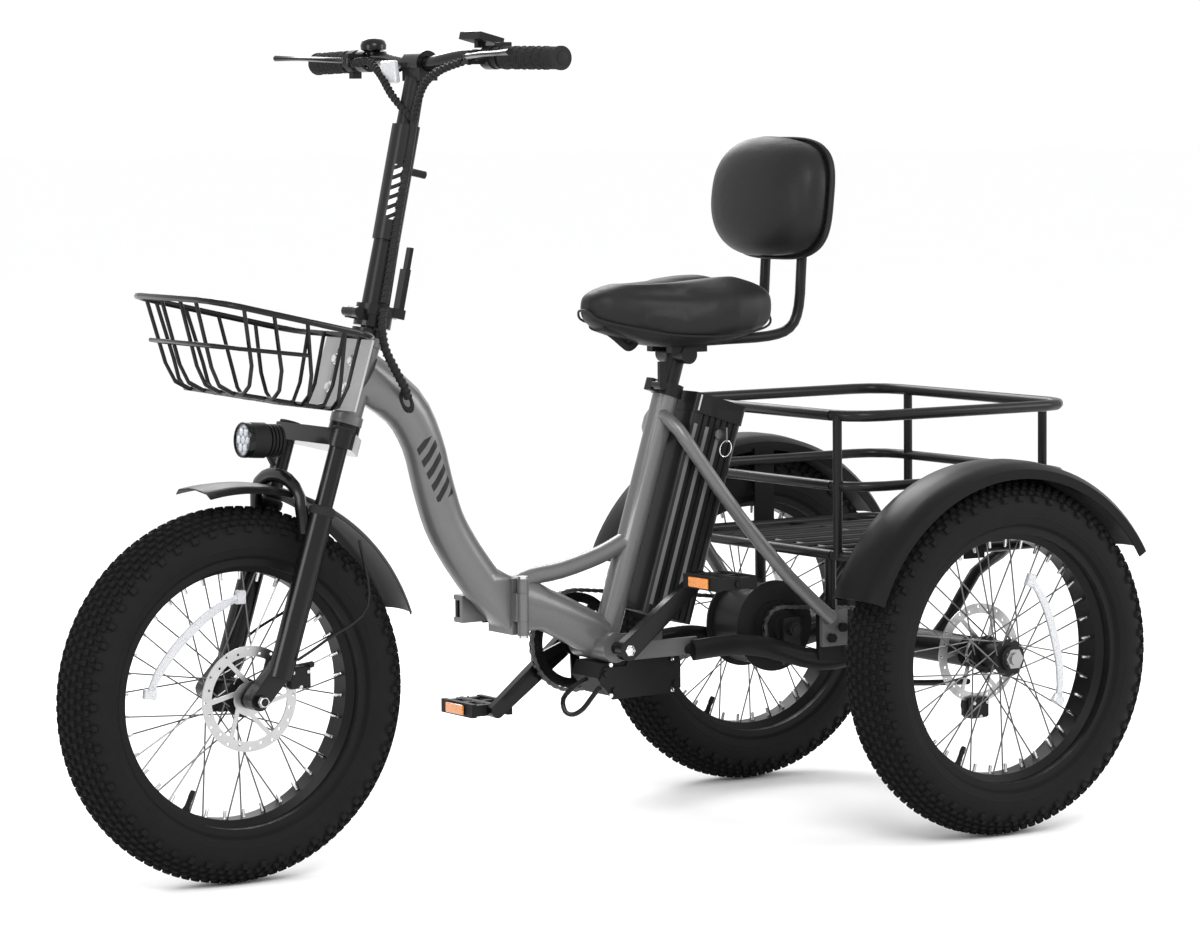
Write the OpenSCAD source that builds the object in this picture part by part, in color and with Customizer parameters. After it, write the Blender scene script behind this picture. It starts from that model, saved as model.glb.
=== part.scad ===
// Folding electric adult tricycle with fat tyres, a front basket and a rear cargo rack.
// X points forward, Y to the rider's left, Z up, with the origin on the ground under the middle.
// The pieces are laid out from the front axle, and placed() then centres the whole on X = 0.

/* [Wheels] */
// Outer radius of each tyre
tyre_r = 285.5; // [270:0.5:300]
// Radius of the tyre's round section
tyre_section_r = 52; // [46:1:54]
// Half of the distance between the front and rear axles
half_wheelbase = 595; // [585:1:605]
// Half of the distance between the rear wheels' middle planes
half_track = 350; // [340:1:360]
// Radius of each brake rotor
rotor_r = 80; // [70:1:90]
// Spokes in each wheel
spoke_count = 36; // [28:4:36]

/* [Frame] */
// Backward tilt of the head tube and the seat tube
frame_tilt = 17.5; // [16:0.5:19]
// Height of the crank axis
crank_z = 309.5; // [300:0.5:315]
// X of the folding joint in the main tube
hinge_x = 128; // [120:1:136]
// Y of the folding joint's pin
hinge_y = 46; // [44:1:48]
// Radius of the folding joint's pin
hinge_pin_r = 5; // [4:0.5:6]
// Outer radius of the seat tube
seat_tube_r = 21; // [20:0.5:23]

/* [Steering] */
// Half of the distance between the fork legs
fork_half_w = 82; // [80:1:86]
// Radius of the fork's inner tubes
stanchion_r = 14; // [13:0.5:15]
// Radius of the fork's lower legs
fork_leg_r = 19; // [18:0.5:20]
// Half of the handlebar's width
bar_half_w = 360; // [350:1:370]
// Radius of the handlebar at its grips
bar_r = 11.1; // [10:0.1:12]

/* [Drive] */
// Crank arm length
crank_len = 170; // [160:1:175]
// Teeth on the motor's sprocket
motor_teeth = 16; // [14:1:18]
// Teeth on the axle's sprocket
axle_teeth = 24; // [22:1:26]
// Teeth on the chainring
ring_teeth = 40; // [38:1:42]
// Teeth on the pedal chain's rear sprocket
cog_teeth = 18; // [16:1:20]

/* [Seat and cargo] */
// Seat post radius
seat_post_r = 15.8; // [15:0.1:16]
// Half width of the rear rack
rack_half_w = 262; // [240:1:266]
// Height of the rack's top rail
rack_top_z = 672; // [660:1:690]
// Half width of the front basket
basket_half_w = 140; // [130:1:150]

/* [Hidden] */
$fn = 48;

wire_fn = 6;            // sides of a thin wire
tube_fn = 12;           // sides of a bent tube
run_gap = 0.06;         // radial clearance of a shaft that turns in a bore
part_gap = 0.4;         // clearance between neighbouring bodies
axle_r = 10;            // rear axle shaft
chain_pitch = 12.7;
chain_half = 3.2;       // half of a chain's height
chain_w = 6;

axle_z = tyre_r;
front_x = 618;          // the front axle in the layout
rear_x = front_x - 2 * half_wheelbase;
front_axle = [front_x, 0, axle_z];
rear_axle_pos = [rear_x, 0, axle_z];
crank_pos = [-42, 0, crank_z];
motor_pos = [-356, 0, 320];
chain_y = 60;           // left chain line, from the motor to the axle
pedal_chain_y = -72;    // right chain line, from the crank to the motor

up_tilt = [-sin(frame_tilt), 0, cos(frame_tilt)];
fwd_tilt = [cos(frame_tilt), 0, sin(frame_tilt)];
seat_foot = [-53, 0, 315];
head_foot = [415, 0, 684];
head_len = 138;

function pitch_r(teeth) = teeth * chain_pitch / 360 * 57.2958;
function seat_at(forward, along, y = 0) =
    seat_foot + forward * fwd_tilt + along * up_tilt + [0, y, 0];
function head_at(forward, along, y = 0) =
    head_foot + forward * fwd_tilt + along * up_tilt + [0, y, 0];
function flip(points, side) = [for (p = points) [p[0], p[1] * side, p[2]]];
function unit(v) = v / norm(v);

// A smooth curve through the points, with steps on each span.
function curve_at(p, i, t) =
    let (
        a = p[max(i - 1, 0)],
        b = p[i],
        c = p[i + 1],
        d = p[min(i + 2, len(p) - 1)]
    )
    0.5 * (2 * b + (c - a) * t + (2 * a - 5 * b + 4 * c - d) * t * t
        + (3 * b - a - 3 * c + d) * t * t * t);
function smooth(p, steps = 4) = concat(
    [for (i = [0:len(p) - 2], k = [0:steps - 1]) curve_at(p, i, k / steps)],
    [p[len(p) - 1]]);

// A closed rounded rectangle in plan at height z, as points for a tube.
function rounded_loop(x0, x1, y0, y1, r, z0, z1, steps = 3) =
    let (
        corners = [[x1 - r, y1 - r, 0], [x0 + r, y1 - r, 90], [x0 + r, y0 + r, 180], [x1 - r, y0 + r, 270]],
        loop = [for (c = corners, k = [0:steps])
            [c[0] + r * cos(c[2] + 90 * k / steps), c[1] + r * sin(c[2] + 90 * k / steps)]]
    )
    [for (p = loop) [p[0], p[1], z0 + (z1 - z0) * (p[0] - x0) / (x1 - x0)]];

function span_dir(path, i) = unit(path[min(i + 1, len(path) - 1)] - path[max(i - 1, 0)]);
function ring_at(path, sizes, ref, sides, i) =
    let (
        t = span_dir(path, i),
        b = unit(cross(t, ref)),
        n = cross(b, t),
        s = sizes[min(i, len(sizes) - 1)]
    )
    [for (k = [0:sides - 1]) path[i] + b * s[0] * cos(360 * (k + 0.5) / sides) + n * s[1] * sin(360 * (k + 0.5) / sides)];

// A solid swept along a path: sizes holds one [across, along ref] pair, or one for each point.
module sweep(path, sizes, ref = [0, 1, 0], sides = tube_fn) {
    rings = len(path);
    points = [for (i = [0:rings - 1]) each ring_at(path, sizes, ref, sides, i)];
    walls = [for (i = [0:rings - 2], k = [0:sides - 1])
        [i * sides + k, i * sides + (k + 1) % sides, (i + 1) * sides + (k + 1) % sides, (i + 1) * sides + k]];
    first = [for (k = [sides - 1:-1:0]) k];
    last = [for (k = [0:sides - 1]) (rings - 1) * sides + k];
    polyhedron(points, concat([first], walls, [last]), convexity = 8);
}

// A round wire made of straight spans, each with round ends.
module wire(path, r, closed = false) {
    count = len(path);
    for (i = [0:count - (closed ? 1 : 2)])
        hull() {
            translate(path[i]) sphere(r = r, $fn = wire_fn);
            translate(path[(i + 1) % count]) sphere(r = r, $fn = wire_fn);
        }
}

module along_y(p, r, y0, y1, fn = $fn) {
    translate([p[0], y0, p[2]]) rotate([-90, 0, 0]) cylinder(r = r, h = y1 - y0, $fn = fn);
}

module along_x(y, z, x0, x1, r, fn = tube_fn) {
    translate([x0, y, z]) rotate([0, 90, 0]) cylinder(r = r, h = x1 - x0, $fn = fn);
}

module in_seat_frame() {
    translate(seat_foot) rotate([0, -frame_tilt, 0]) children();
}

module in_head_frame() {
    translate(head_foot) rotate([0, -frame_tilt, 0]) children();
}

module rod(a, b, r, fn = $fn) {
    d = b - a;
    len = norm(d);
    translate(a)
        rotate([0, acos(d[2] / len), atan2(d[1], d[0])])
            cylinder(r = r, h = len, $fn = fn);
}

module round_box(size, r) {
    linear_extrude(size[2])
        for (part = [0, 1]) {
            translate([part * r - size[0] / 2, (1 - part) * r - size[1] / 2])
                square([size[0] - 2 * part * r, size[1] - 2 * (1 - part) * r]);
            for (s = [-1, 1])
                translate([(part * 2 - 1) * (size[0] / 2 - r), s * (size[1] / 2 - r)]) circle(r);
        }
}

// ---- Wheels, each built about the origin with its axle along Y ----

rim_edge_r = 213;
rim_half_w = 40;
bead_r = 203;
well_r = 188;
spoke_r = 1.3;
flange_r = 30;

module wheel_at(pos) {
    translate(pos) rotate([-90, 0, 0]) children();
}

module tyre_body() {
    centre_r = tyre_r - tyre_section_r;
    wall = 5;
    rotate_extrude($fn = 96) {
        difference() {
            translate([centre_r, 0]) circle(tyre_section_r);
            translate([centre_r, 0]) circle(tyre_section_r - wall);
            translate([0, -tyre_section_r - 1]) square([rim_edge_r + 1, 2 * tyre_section_r + 2]);
        }
        for (s = [-1, 1]) {
            translate([rim_edge_r + 0.5, s > 0 ? 32 : -46]) square([4, 14]);
            translate([bead_r + 0.5, s > 0 ? 31.5 : -35.5]) square([12, 4]);
        }
    }
}

module rim_body() {
    lip = 4;
    seat_y = 22;
    well_y = 14;
    outline = [
        [rim_edge_r, rim_half_w], [rim_edge_r, rim_half_w - lip], [bead_r, rim_half_w - lip],
        [bead_r, seat_y], [well_r + lip, well_y], [well_r + lip, -well_y],
        [bead_r, -seat_y], [bead_r, lip - rim_half_w], [rim_edge_r, lip - rim_half_w],
        [rim_edge_r, -rim_half_w], [bead_r - lip, -rim_half_w], [bead_r - lip, -seat_y - 2],
        [well_r, -well_y - 2], [well_r, well_y + 2], [bead_r - lip, seat_y + 2],
        [bead_r - lip, rim_half_w]
    ];
    rotate_extrude($fn = 96) polygon(outline);
}

// The hub shell with two flanges, bored for its axle.
module hub_body(y0, y1, flange_y, bore_r, body_r = 17) {
    difference() {
        union() {
            translate([0, 0, y0]) cylinder(r = body_r, h = y1 - y0);
            for (s = [-1, 1])
                translate([0, 0, s * flange_y - 2]) cylinder(r = flange_r, h = 4);
        }
        translate([0, 0, y0 - 1]) cylinder(r = bore_r, h = y1 - y0 + 2);
    }
}

// Spokes run tangentially from both flanges to the rim's well.
module spokes_body(flange_y) {
    for (i = [0:spoke_count - 1]) {
        side = i % 2 == 0 ? 1 : -1;
        lean = floor(i / 2) % 2 == 0 ? 1 : -1;
        at_rim = 360 * (i + 0.5) / spoke_count;
        at_hub = at_rim + lean * 62;
        a = [(flange_r - 4) * cos(at_hub), (flange_r - 4) * sin(at_hub), side * flange_y + lean * 2.6];
        b = [(well_r + 2) * cos(at_rim), (well_r + 2) * sin(at_rim), side * 8];
        rod(a, b, spoke_r, wire_fn);
    }
}

// A disc with a ring of holes, held by curved-looking straight arms.
module rotor_body(thick, bore_r) {
    arms = 6;
    difference() {
        union() {
            difference() {
                cylinder(r = rotor_r, h = thick, center = true);
                cylinder(r = rotor_r - 16, h = thick + 2, center = true);
            }
            difference() {
                cylinder(r = 26, h = thick, center = true);
                cylinder(r = bore_r, h = thick + 2, center = true);
            }
            for (i = [0:arms - 1])
                rotate(360 * i / arms) translate([20, -14, -thick / 2]) rotate(14) cube([48, 7, thick]);
        }
        for (i = [0:23])
            rotate(15 * i) translate([rotor_r - (i % 2 == 0 ? 5 : 10), 0, 0])
                cylinder(r = 2.2, h = thick + 2, center = true, $fn = 16);
    }
}

front_flange_y = 33;
front_hub_half = 50;
front_rotor_y = 55;
front_bore_r = 6.06;
module front_tyre() { color("#1c1c1d") wheel_at(front_axle) tyre_body(); }
module front_rim() { color("#242426") wheel_at(front_axle) rim_body(); }
module front_hub() {
    color("#2b2b2e") wheel_at(front_axle)
        hub_body(-front_hub_half, front_hub_half, front_flange_y, front_bore_r);
}
module front_spokes() { color("#8c8d90") wheel_at(front_axle) spokes_body(front_flange_y); }
module front_rotor() {
    color("#b9bbbe") wheel_at(front_axle) {
        translate([0, 0, front_rotor_y]) rotor_body(2, front_bore_r + 8);
        difference() {
            translate([0, 0, front_hub_half]) cylinder(r = 20, h = front_rotor_y - front_hub_half - 1);
            translate([0, 0, front_hub_half - 1]) cylinder(r = front_bore_r + 8, h = 20);
        }
    }
}

rear_flange_y = 28;
rear_rotor_y = half_track - 49.5;
hub_in = half_track - 46.5;
hub_out = half_track + 36.5;
housing_end = half_track - 72.5;
module rear_wheel_at(side) {
    translate([0, side * half_track, 0]) wheel_at(rear_axle_pos) children();
}
module rear_left_tyre() { color("#1c1c1d") rear_wheel_at(1) tyre_body(); }
module rear_left_rim() { color("#242426") rear_wheel_at(1) rim_body(); }
module rear_left_hub() {
    color("#2b2b2e") rear_wheel_at(1)
        hub_body(hub_in - half_track, hub_out - half_track, rear_flange_y, axle_r, 20);
}
module rear_left_spokes() { color("#8c8d90") rear_wheel_at(1) spokes_body(rear_flange_y); }
module rear_right_tyre() { color("#1c1c1d") rear_wheel_at(-1) tyre_body(); }
module rear_right_rim() { color("#242426") rear_wheel_at(-1) rim_body(); }
module rear_right_hub() {
    color("#2b2b2e") rear_wheel_at(-1)
        hub_body(half_track - hub_out, half_track - hub_in, rear_flange_y, axle_r + run_gap, 20);
}
module rear_right_spokes() { color("#8c8d90") rear_wheel_at(-1) spokes_body(rear_flange_y); }
module rear_rotor() {
    color("#b9bbbe") wheel_at(rear_axle_pos) {
        translate([0, 0, rear_rotor_y]) rotor_body(2, axle_r);
        difference() {
            translate([0, 0, rear_rotor_y + 1]) cylinder(r = 24, h = hub_in - rear_rotor_y - 1);
            translate([0, 0, rear_rotor_y]) cylinder(r = axle_r, h = 10);
        }
    }
}

// The rear axle turns in the housings, with its sprocket and its end nuts.
axle_end = half_track + 48.5;
module rear_axle() {
    ring_r = pitch_r(axle_teeth) - chain_half - part_gap;
    color("#a7a9ac") wheel_at(rear_axle_pos) {
        translate([0, 0, -axle_end]) cylinder(r = axle_r, h = 2 * axle_end);
        for (s = [-1, 1])
            translate([0, 0, s > 0 ? hub_out : -hub_out - 8 - part_gap]) cylinder(r = 17, h = 8, $fn = 6);
        translate([0, 0, chain_y - 2]) cylinder(r = ring_r, h = 4);
        translate([0, 0, chain_y - 12]) cylinder(r = 22, h = 24);
    }
}

// ---- Rear frame ----

lower_tube_path = smooth([[117, 0, 387], [62, 0, 374], [6, 0, 347], [-40, 0, 322]], 3);
upper_tube_path = smooth([[117, 0, 414], [88, 0, 427], [29, 0, 434], [-46, 0, 453], [-96, 0, 474]], 3);
grey_stay_path = smooth(
    [[-160, 12, 672], [-170, 44, 648], [-202, 64, 592], [-262, 80, 506], [-344, 101, 405], [-411, 129, 334]], 2);
plate_z0 = 342;
plate_z1 = 431;
knuckle_r = 9;
knuckle_cut = 22;       // height of each end knuckle
seat_bore_r = seat_post_r + run_gap;
seat_tube_len = 412;

module knuckle(z0, z1, side) {
    translate([hinge_x, hinge_y, z0]) cylinder(r = knuckle_r, h = z1 - z0);
    translate([side > 0 ? hinge_x + 1 : hinge_x - 12, 28, z0]) cube([11, hinge_y - 28, z1 - z0]);
}

module rear_frame() {
    color("#5a5b5e") difference() {
        union() {
            in_seat_frame() translate([0, 0, -8]) cylinder(r = seat_tube_r, h = seat_tube_len);
            along_y(crank_pos, 24, -52, 52);
            sweep(lower_tube_path, [[44, 29], [44, 29], [40, 29], [34, 30]]);
            sweep(upper_tube_path, [[14, 17]]);
            translate([hinge_x - 12, -37, plate_z0]) cube([11.6, 72, plate_z1 - plate_z0]);
            knuckle(plate_z0, plate_z0 + knuckle_cut, -1);
            knuckle(plate_z1 - knuckle_cut, plate_z1, -1);
            for (s = [-1, 1]) {
                sweep(flip(grey_stay_path, s), [[11, 11]]);
                translate([-445, s > 0 ? 113 : -121, 290]) cube([50, 8, 58]);
                translate([-196, s > 0 ? 47 : -53, 288]) cube([150, 6, 28]);
            }
        }
        in_seat_frame() translate([0, 0, 120]) cylinder(r = seat_bore_r, h = 400);
        along_y(crank_pos, axle_r + run_gap, -53, 53);
        for (p = stay_bolts)
            along_y(p, 4.4, -130, 130, 16);
        translate([hinge_x, hinge_y, plate_z0 - 1]) cylinder(r = hinge_pin_r, h = plate_z1 - plate_z0 + 2);
    }
}

module frame_hinge_pin() {
    color("#9b9da0") {
        translate([hinge_x, hinge_y, plate_z0 - 4]) cylinder(r = hinge_pin_r, h = plate_z1 - plate_z0 + 8);
        translate([hinge_x, hinge_y, plate_z1]) cylinder(r = 8, h = 4);
        translate([hinge_x, hinge_y, plate_z0 - 4]) cylinder(r = 8, h = 4);
    }
}

stay_bolts = [[-411, 0, 304], [-433, 0, 320]];
chainstay_path = [
    [-180, 64, 296], [-255, 73, 300], [-316, 88, 291], [-404, 100, 266], [-490, 103, 272], [rear_x, 104, axle_z]];
housing_r = 25;
hoop_path = smooth(
    [[rear_x, 170, axle_z], [-620, 170, 332], [-672, 166, 396], [-730, 156, 422], [-776, 110, 430], [-786, 0, 431.8],
     [-776, -110, 430], [-730, -156, 422], [-672, -166, 396], [-620, -170, 332], [rear_x, -170, axle_z]], 2);
deck_z = 447;
post_x = -428;
post_y = 98;

module rear_subframe() {
    color("#17181a") difference() {
        union() {
            for (s = [-1, 1]) {
                sweep(flip(smooth(chainstay_path, 3), s), [[17, 11]]);
                along_y([-180, 0, 296], 9, s > 0 ? 53.4 : -64, s > 0 ? 64 : -53.4);
                along_y(rear_axle_pos, housing_r, s > 0 ? 82 : -housing_end, s > 0 ? housing_end : -30);
                translate([motor_pos[0] - 16, s > 0 ? 86 : -92, 262]) cube([32, 6, 76]);
                rod([post_x, s * post_y, 266], [post_x, s * post_y, deck_z - 9.2], 9);
                translate([-446, s > 0 ? 104 : -112.5, 268]) cube([52, 8.5, 74]);
                for (p = stay_bolts) {
                    along_y(p, 8, s > 0 ? 121.2 : -129, s > 0 ? 129 : -121.2, 6);
                    along_y(p, 4, s > 0 ? 108 : -124, s > 0 ? 124 : -108, 16);
                }
            }
            sweep(hoop_path, [[10, 10]], [0, 0.001, 1]);
            along_y(motor_pos, 7, -104, 104);
            for (s = [-1, 1])
                along_y(motor_pos, 12, s > 0 ? 92 : -102, s > 0 ? 102 : -92, 6);
        }
        along_y(rear_axle_pos, axle_r + run_gap, -housing_end - 1, housing_end + 1);
    }
}

// ---- Rear rack: three rails around, posts and a slatted floor ----

rack_x0 = -800;
rack_x1 = -356;
rail_r = 9;
mid_rail_z = 560;
module rack_loop(z, r, inset) {
    sweep(
        concat(
            rounded_loop(rack_x0 + inset, rack_x1 - inset, inset - rack_half_w, rack_half_w - inset, 60, z, z),
            [[rack_x1 - inset, rack_half_w - inset - 60, z] + [0, -1, 0]]),
        [[r, r]], [0, 0, 1], 10);
}
module rear_rack() {
    front_post_y = rack_half_w - 46;
    rear_post_y = rack_half_w - 80;
    color("#1b1c1e") {
        rack_loop(rack_top_z, rail_r, 0);
        rack_loop(mid_rail_z, 8, 0);
        rack_loop(deck_z + 2, 8, 0);
        for (s = [-1, 1]) {
            rod([rack_x1, s * front_post_y, deck_z], [rack_x1, s * front_post_y, rack_top_z], 7.5, tube_fn);
            rod([rack_x0, s * rear_post_y, deck_z], [rack_x0, s * rear_post_y, rack_top_z], 7.5, tube_fn);
        }
        for (y = [-180:60:180])
            along_x(y, deck_z + 1, rack_x0, rack_x1, 6);
        for (x = [post_x, -610, -730])
            along_y([x, 0, deck_z - 3], 6, -rack_half_w, rack_half_w, tube_fn);
    }
}

// ---- Rear fenders: a curved band over each rear tyre with an inner web ----

fender_r = 309;
fender_half_w = 58;
module arc_band(r_in, r_out, a0, a1, half_w) {
    rotate([0, 0, a0]) rotate_extrude(angle = a1 - a0, $fn = 96)
        translate([r_in, -half_w]) square([r_out - r_in, 2 * half_w]);
}
module fender_shell(r, a0, a1, half_w, drop) {
    thick = 2.4;
    rotate([90, 0, 0]) rotate([0, 0, a0]) rotate_extrude(angle = a1 - a0, $fn = 96)
        polygon([
            [r - drop, half_w - thick], [r - 8, half_w - thick], [r - 1, half_w - 12], [r + 3, 12],
            [r + 3, -12], [r - 1, 12 - half_w], [r - 8, thick - half_w], [r - drop, thick - half_w],
            [r - drop, -half_w], [r - 7, -half_w], [r + 1.4, -half_w + 12], [r + 5.4, -12],
            [r + 5.4, 12], [r + 1.4, half_w - 12], [r - 7, half_w], [r - drop, half_w]
        ]);
}
module rear_fenders() {
    tab_y = half_track - fender_half_w;
    rail_face = rack_half_w + rail_r;
    color("#1a1b1d") for (s = [-1, 1]) {
        translate([rear_x, s * half_track, axle_z]) fender_shell(fender_r, 21, 149, fender_half_w, 22);
        translate([rear_x - 20, s > 0 ? tab_y - 4 : -tab_y, deck_z - 10]) cube([40, 4, 140]);
        for (dx = [-12, 12], z = [deck_z + 2, mid_rail_z])
            translate([rear_x + dx, s > 0 ? rail_face - 1 : 4 - tab_y, z]) rotate([-90, 0, 0])
                cylinder(r = 5, h = tab_y - 4 - rail_face + 1, $fn = 24);
    }
}

// ---- Controller, covers, rest loop ----

box_x0 = -172;
box_x1 = -14;
box_half_w = 38;
module box_outline() {
    polygon([
        [box_x0, 240], [-160, 233], [-40, 231], [box_x1, 262], [-24, 284], [-66, 284],
        [-72, 296], [-150, 298], [box_x0, 286]
    ]);
}
module controller_box() {
    color("#141416") rotate([90, 0, 0]) translate([0, 0, -box_half_w])
        linear_extrude(2 * box_half_w) box_outline();
}
module controller_cover() {
    color("#101011") {
        translate([0, box_half_w + 3.2, 0]) rotate([90, 0, 0])
            linear_extrude(3) translate([-2, -2]) scale([0.985, 0.985]) box_outline();
    }
    color("#c9cacc") for (p = [[-28, 268], [-44, 240], [-160, 243], [-160, 284]])
        translate([p[0], box_half_w + 3, p[1]]) rotate([-90, 0, 0]) cylinder(r = 5, h = 4.5, $fn = 24);
}
module rest_loop() {
    color("#1a1a1c") for (path = [smooth(
        [[-24, 30, 246], [-10, 30, 232], [8, 30, 214], [24, 26, 206], [34, 18, 211], [32, 10, 230], [12, 8, 246], [-14, 8, 258]], 3)])
        sweep(path, [[4, 4]], [0.2, 1, 0], 8);
}

// ---- Brake calipers ----

module caliper_body(pos, y0, y1, slot_y, slot_dir) {
    slot_half = 2.2;
    difference() {
        union() {
            translate([pos[0] - 22, y0, pos[2] - 22]) cube([44, y1 - y0, 44]);
            along_y(pos, 18, y0 - 6, y0 + 1);
        }
        translate(slot_dir[0] != 0
            ? [pos[0] - 6, slot_y - slot_half, pos[2] - 30]
            : [pos[0] - 30, slot_y - slot_half, pos[2] - 2])
            cube(slot_dir[0] != 0 ? [60, 2 * slot_half, 60] : [60, 2 * slot_half, 60]);
    }
}
module rear_caliper() {
    pos = [rear_x + 6, 0, 203];
    y0 = half_track - 65.5;
    color("#131314") {
        caliper_body(pos, y0, y0 + 29, rear_rotor_y, [0, 0, 1]);
        translate([rear_x - 18, housing_end + part_gap, 186]) cube([40, y0 - housing_end - part_gap, 72]);
    }
}
module front_caliper() {
    pos = [536, 0, 316];
    color("#131314") {
        caliper_body(pos, 42, 66, front_rotor_y, [1, 0, 0]);
        translate([500, 58, 298]) cube([20, 8, 58]);
    }
}

// ---- Chains: closed loops around their sprockets ----

module chain_band(p, rp, q, rq, y) {
    translate([0, y + chain_w / 2, 0]) rotate([90, 0, 0])
        linear_extrude(chain_w) difference() {
            hull() {
                translate([p[0], p[2]]) circle(rp + chain_half, $fn = 64);
                translate([q[0], q[2]]) circle(rq + chain_half, $fn = 48);
            }
            hull() {
                translate([p[0], p[2]]) circle(rp - chain_half, $fn = 64);
                translate([q[0], q[2]]) circle(rq - chain_half, $fn = 48);
            }
        }
}
module chains() {
    color("#3b3c3e") {
        chain_band(crank_pos, pitch_r(ring_teeth), motor_pos, pitch_r(cog_teeth), pedal_chain_y);
        chain_band(rear_axle_pos, pitch_r(axle_teeth), motor_pos, pitch_r(motor_teeth), chain_y);
    }
}

// ---- Motor hub, crankset and pedals ----

module motor_hub() {
    bore_r = 7 + run_gap;
    small_r = pitch_r(motor_teeth) - chain_half - part_gap;
    cog_r = pitch_r(cog_teeth) - chain_half - part_gap;
    color("#161719") wheel_at(motor_pos) difference() {
        union() {
            translate([0, 0, -46]) cylinder(r = 66, h = 88);
            translate([0, 0, -46]) cylinder(r = 74, h = 4);
            translate([0, 0, 38]) cylinder(r = 74, h = 4);
            translate([0, 0, 42]) cylinder(r = 40, h = 8);
            translate([0, 0, 50]) cylinder(r = 20, h = 24);
            translate([0, 0, chain_y - 2]) cylinder(r = small_r, h = 4);
            translate([0, 0, -84]) cylinder(r = 20, h = 40);
            translate([0, 0, pedal_chain_y - 2]) cylinder(r = cog_r, h = 4);
        }
        translate([0, 0, -90]) cylinder(r = bore_r, h = 180);
    }
}

crank_angle = 38.5;     // the left arm points back and up by this much at rest
module crank_arm(side, y0) {
    dir = side > 0 ? [-cos(crank_angle), 0, sin(crank_angle)] : [cos(crank_angle), 0, -sin(crank_angle)];
    tip = crank_pos + crank_len * dir;
    hull() {
        along_y(crank_pos, 17, side * y0 - 8, side * y0 + 8, 32);
        along_y(tip, 12, side * (y0 + 8) - 7, side * (y0 + 8) + 7, 32);
    }
    along_y(tip, 5, side > 0 ? y0 + 10 : -y0 - 118, side > 0 ? y0 + 118 : -y0 - 10);
}
module crankset() {
    ring_r = pitch_r(ring_teeth) - chain_half - part_gap;
    color("#1b1c1e") {
        along_y(crank_pos, axle_r, -86, 86);
        crank_arm(1, 82);
        crank_arm(-1, 90);
        difference() {
            along_y(crank_pos, ring_r, pedal_chain_y - 2, pedal_chain_y + 2);
            along_y(crank_pos, ring_r - 16, pedal_chain_y - 3, pedal_chain_y + 3);
        }
        for (a = [20:72:360])
            translate(crank_pos) rotate([0, a, 0]) translate([8, pedal_chain_y - 2, -8]) cube([ring_r - 18, 4, 16]);
        difference() {
            along_y(crank_pos, 24, pedal_chain_y - 10, pedal_chain_y + 4);
            along_y(crank_pos, 6, pedal_chain_y - 12, pedal_chain_y + 6);
        }
    }
}
module pedal_body(side, y0) {
    dir = side > 0 ? [-cos(crank_angle), 0, sin(crank_angle)] : [cos(crank_angle), 0, -sin(crank_angle)];
    tip = crank_pos + crank_len * dir;
    a = side > 0 ? y0 + 19 : -y0 - 114;
    difference() {
        union() {
            translate([tip[0] - 38, a, tip[2] - 11]) cube([9, 95, 22]);
            translate([tip[0] + 29, a, tip[2] - 11]) cube([9, 95, 22]);
            for (k = [0, 41, 82])
                translate([tip[0] - 36, a + k, tip[2] - 9]) cube([72, 13, 18]);
            along_y(tip, 11, a, a + 95);
        }
        along_y(tip, 5 + run_gap, a - 1, a + 96);
    }
    color("#d98a1e") for (s = [-1, 1])
        translate([tip[0] + s * 38 - (s > 0 ? 0 : 3), a + 22, tip[2] - 7]) cube([3, 50, 14]);
}
module pedal_left() { color("#222224") pedal_body(1, 82); }
module pedal_right() { color("#222224") pedal_body(-1, 90); }

// ---- Seat, backrest and clamp ----

post_top = 474;
module seat_post() {
    color("#1c1c1e") {
        in_seat_frame() translate([0, 0, 200]) cylinder(r = seat_post_r, h = post_top - 200);
        translate(seat_at(0, post_top)) rotate([-90, 0, 0]) translate([0, 0, -38]) cylinder(r = 15, h = 76);
        for (s = [-1, 1])
            translate(seat_at(0, post_top + 6, s * 28)) translate([-34, -8, -2]) cube([68, 16, 14]);
    }
}
module seat_clamp() {
    clamp_r = seat_tube_r + 4;
    color("#1d1d1f") in_seat_frame() difference() {
        union() {
            translate([0, 0, 404.5]) cylinder(r = clamp_r, h = 20);
            translate([clamp_r - 5, -9, 404.5]) cube([18, 18, 20]);
        }
        translate([0, 0, 400]) cylinder(r = seat_post_r + 0.4, h = 40);
    }
}
lever_axis = seat_at(seat_tube_r + 11, 414.5);
module seat_clamp_lever() {
    color("#2a2a2c") {
        along_y(lever_axis, 7, 9.4, 34);
        translate([lever_axis[0] - 6, 27, lever_axis[2] - 4]) cube([12, 7, 42]);
    }
}

module saddle() {
    color("#141415") hull() {
        for (s = [-1, 1]) {
            translate([-278, s * 84, 840]) sphere(r = 38, $fn = 20);
            translate([-228, s * 94, 838]) sphere(r = 35, $fn = 20);
            translate([-140, s * 50, 841]) sphere(r = 35, $fn = 20);
        }
        translate([-54, 0, 846]) sphere(r = 29, $fn = 20);
    }
}
module backrest_tubes() {
    path = smooth(
        [[-176, 44, 788], [-256, 50, 790], [-340, 50, 792], [-384, 50, 804], [-402, 50, 838], [-408, 50, 910],
         [-416, 50, 1000]], 3);
    color("#1a1a1c") {
        for (s = [-1, 1])
            sweep(flip(path, s), [[8.5, 8.5]]);
        translate([-236, -52, 785.6]) cube([60, 104, 8]);
    }
}
module backrest_pad() {
    color("#141415") translate([-386, 0, 1014]) rotate([0, -6, 0])
        hull() for (sy = [-1, 1], sz = [-1, 1]) {
            translate([6, sy * 64, sz * 22]) rotate([0, 90, 0]) scale([1, 1, 0.36])
                sphere(r = 77, $fn = 24);
        }
}

// ---- Battery, its lock and key ----

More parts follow.
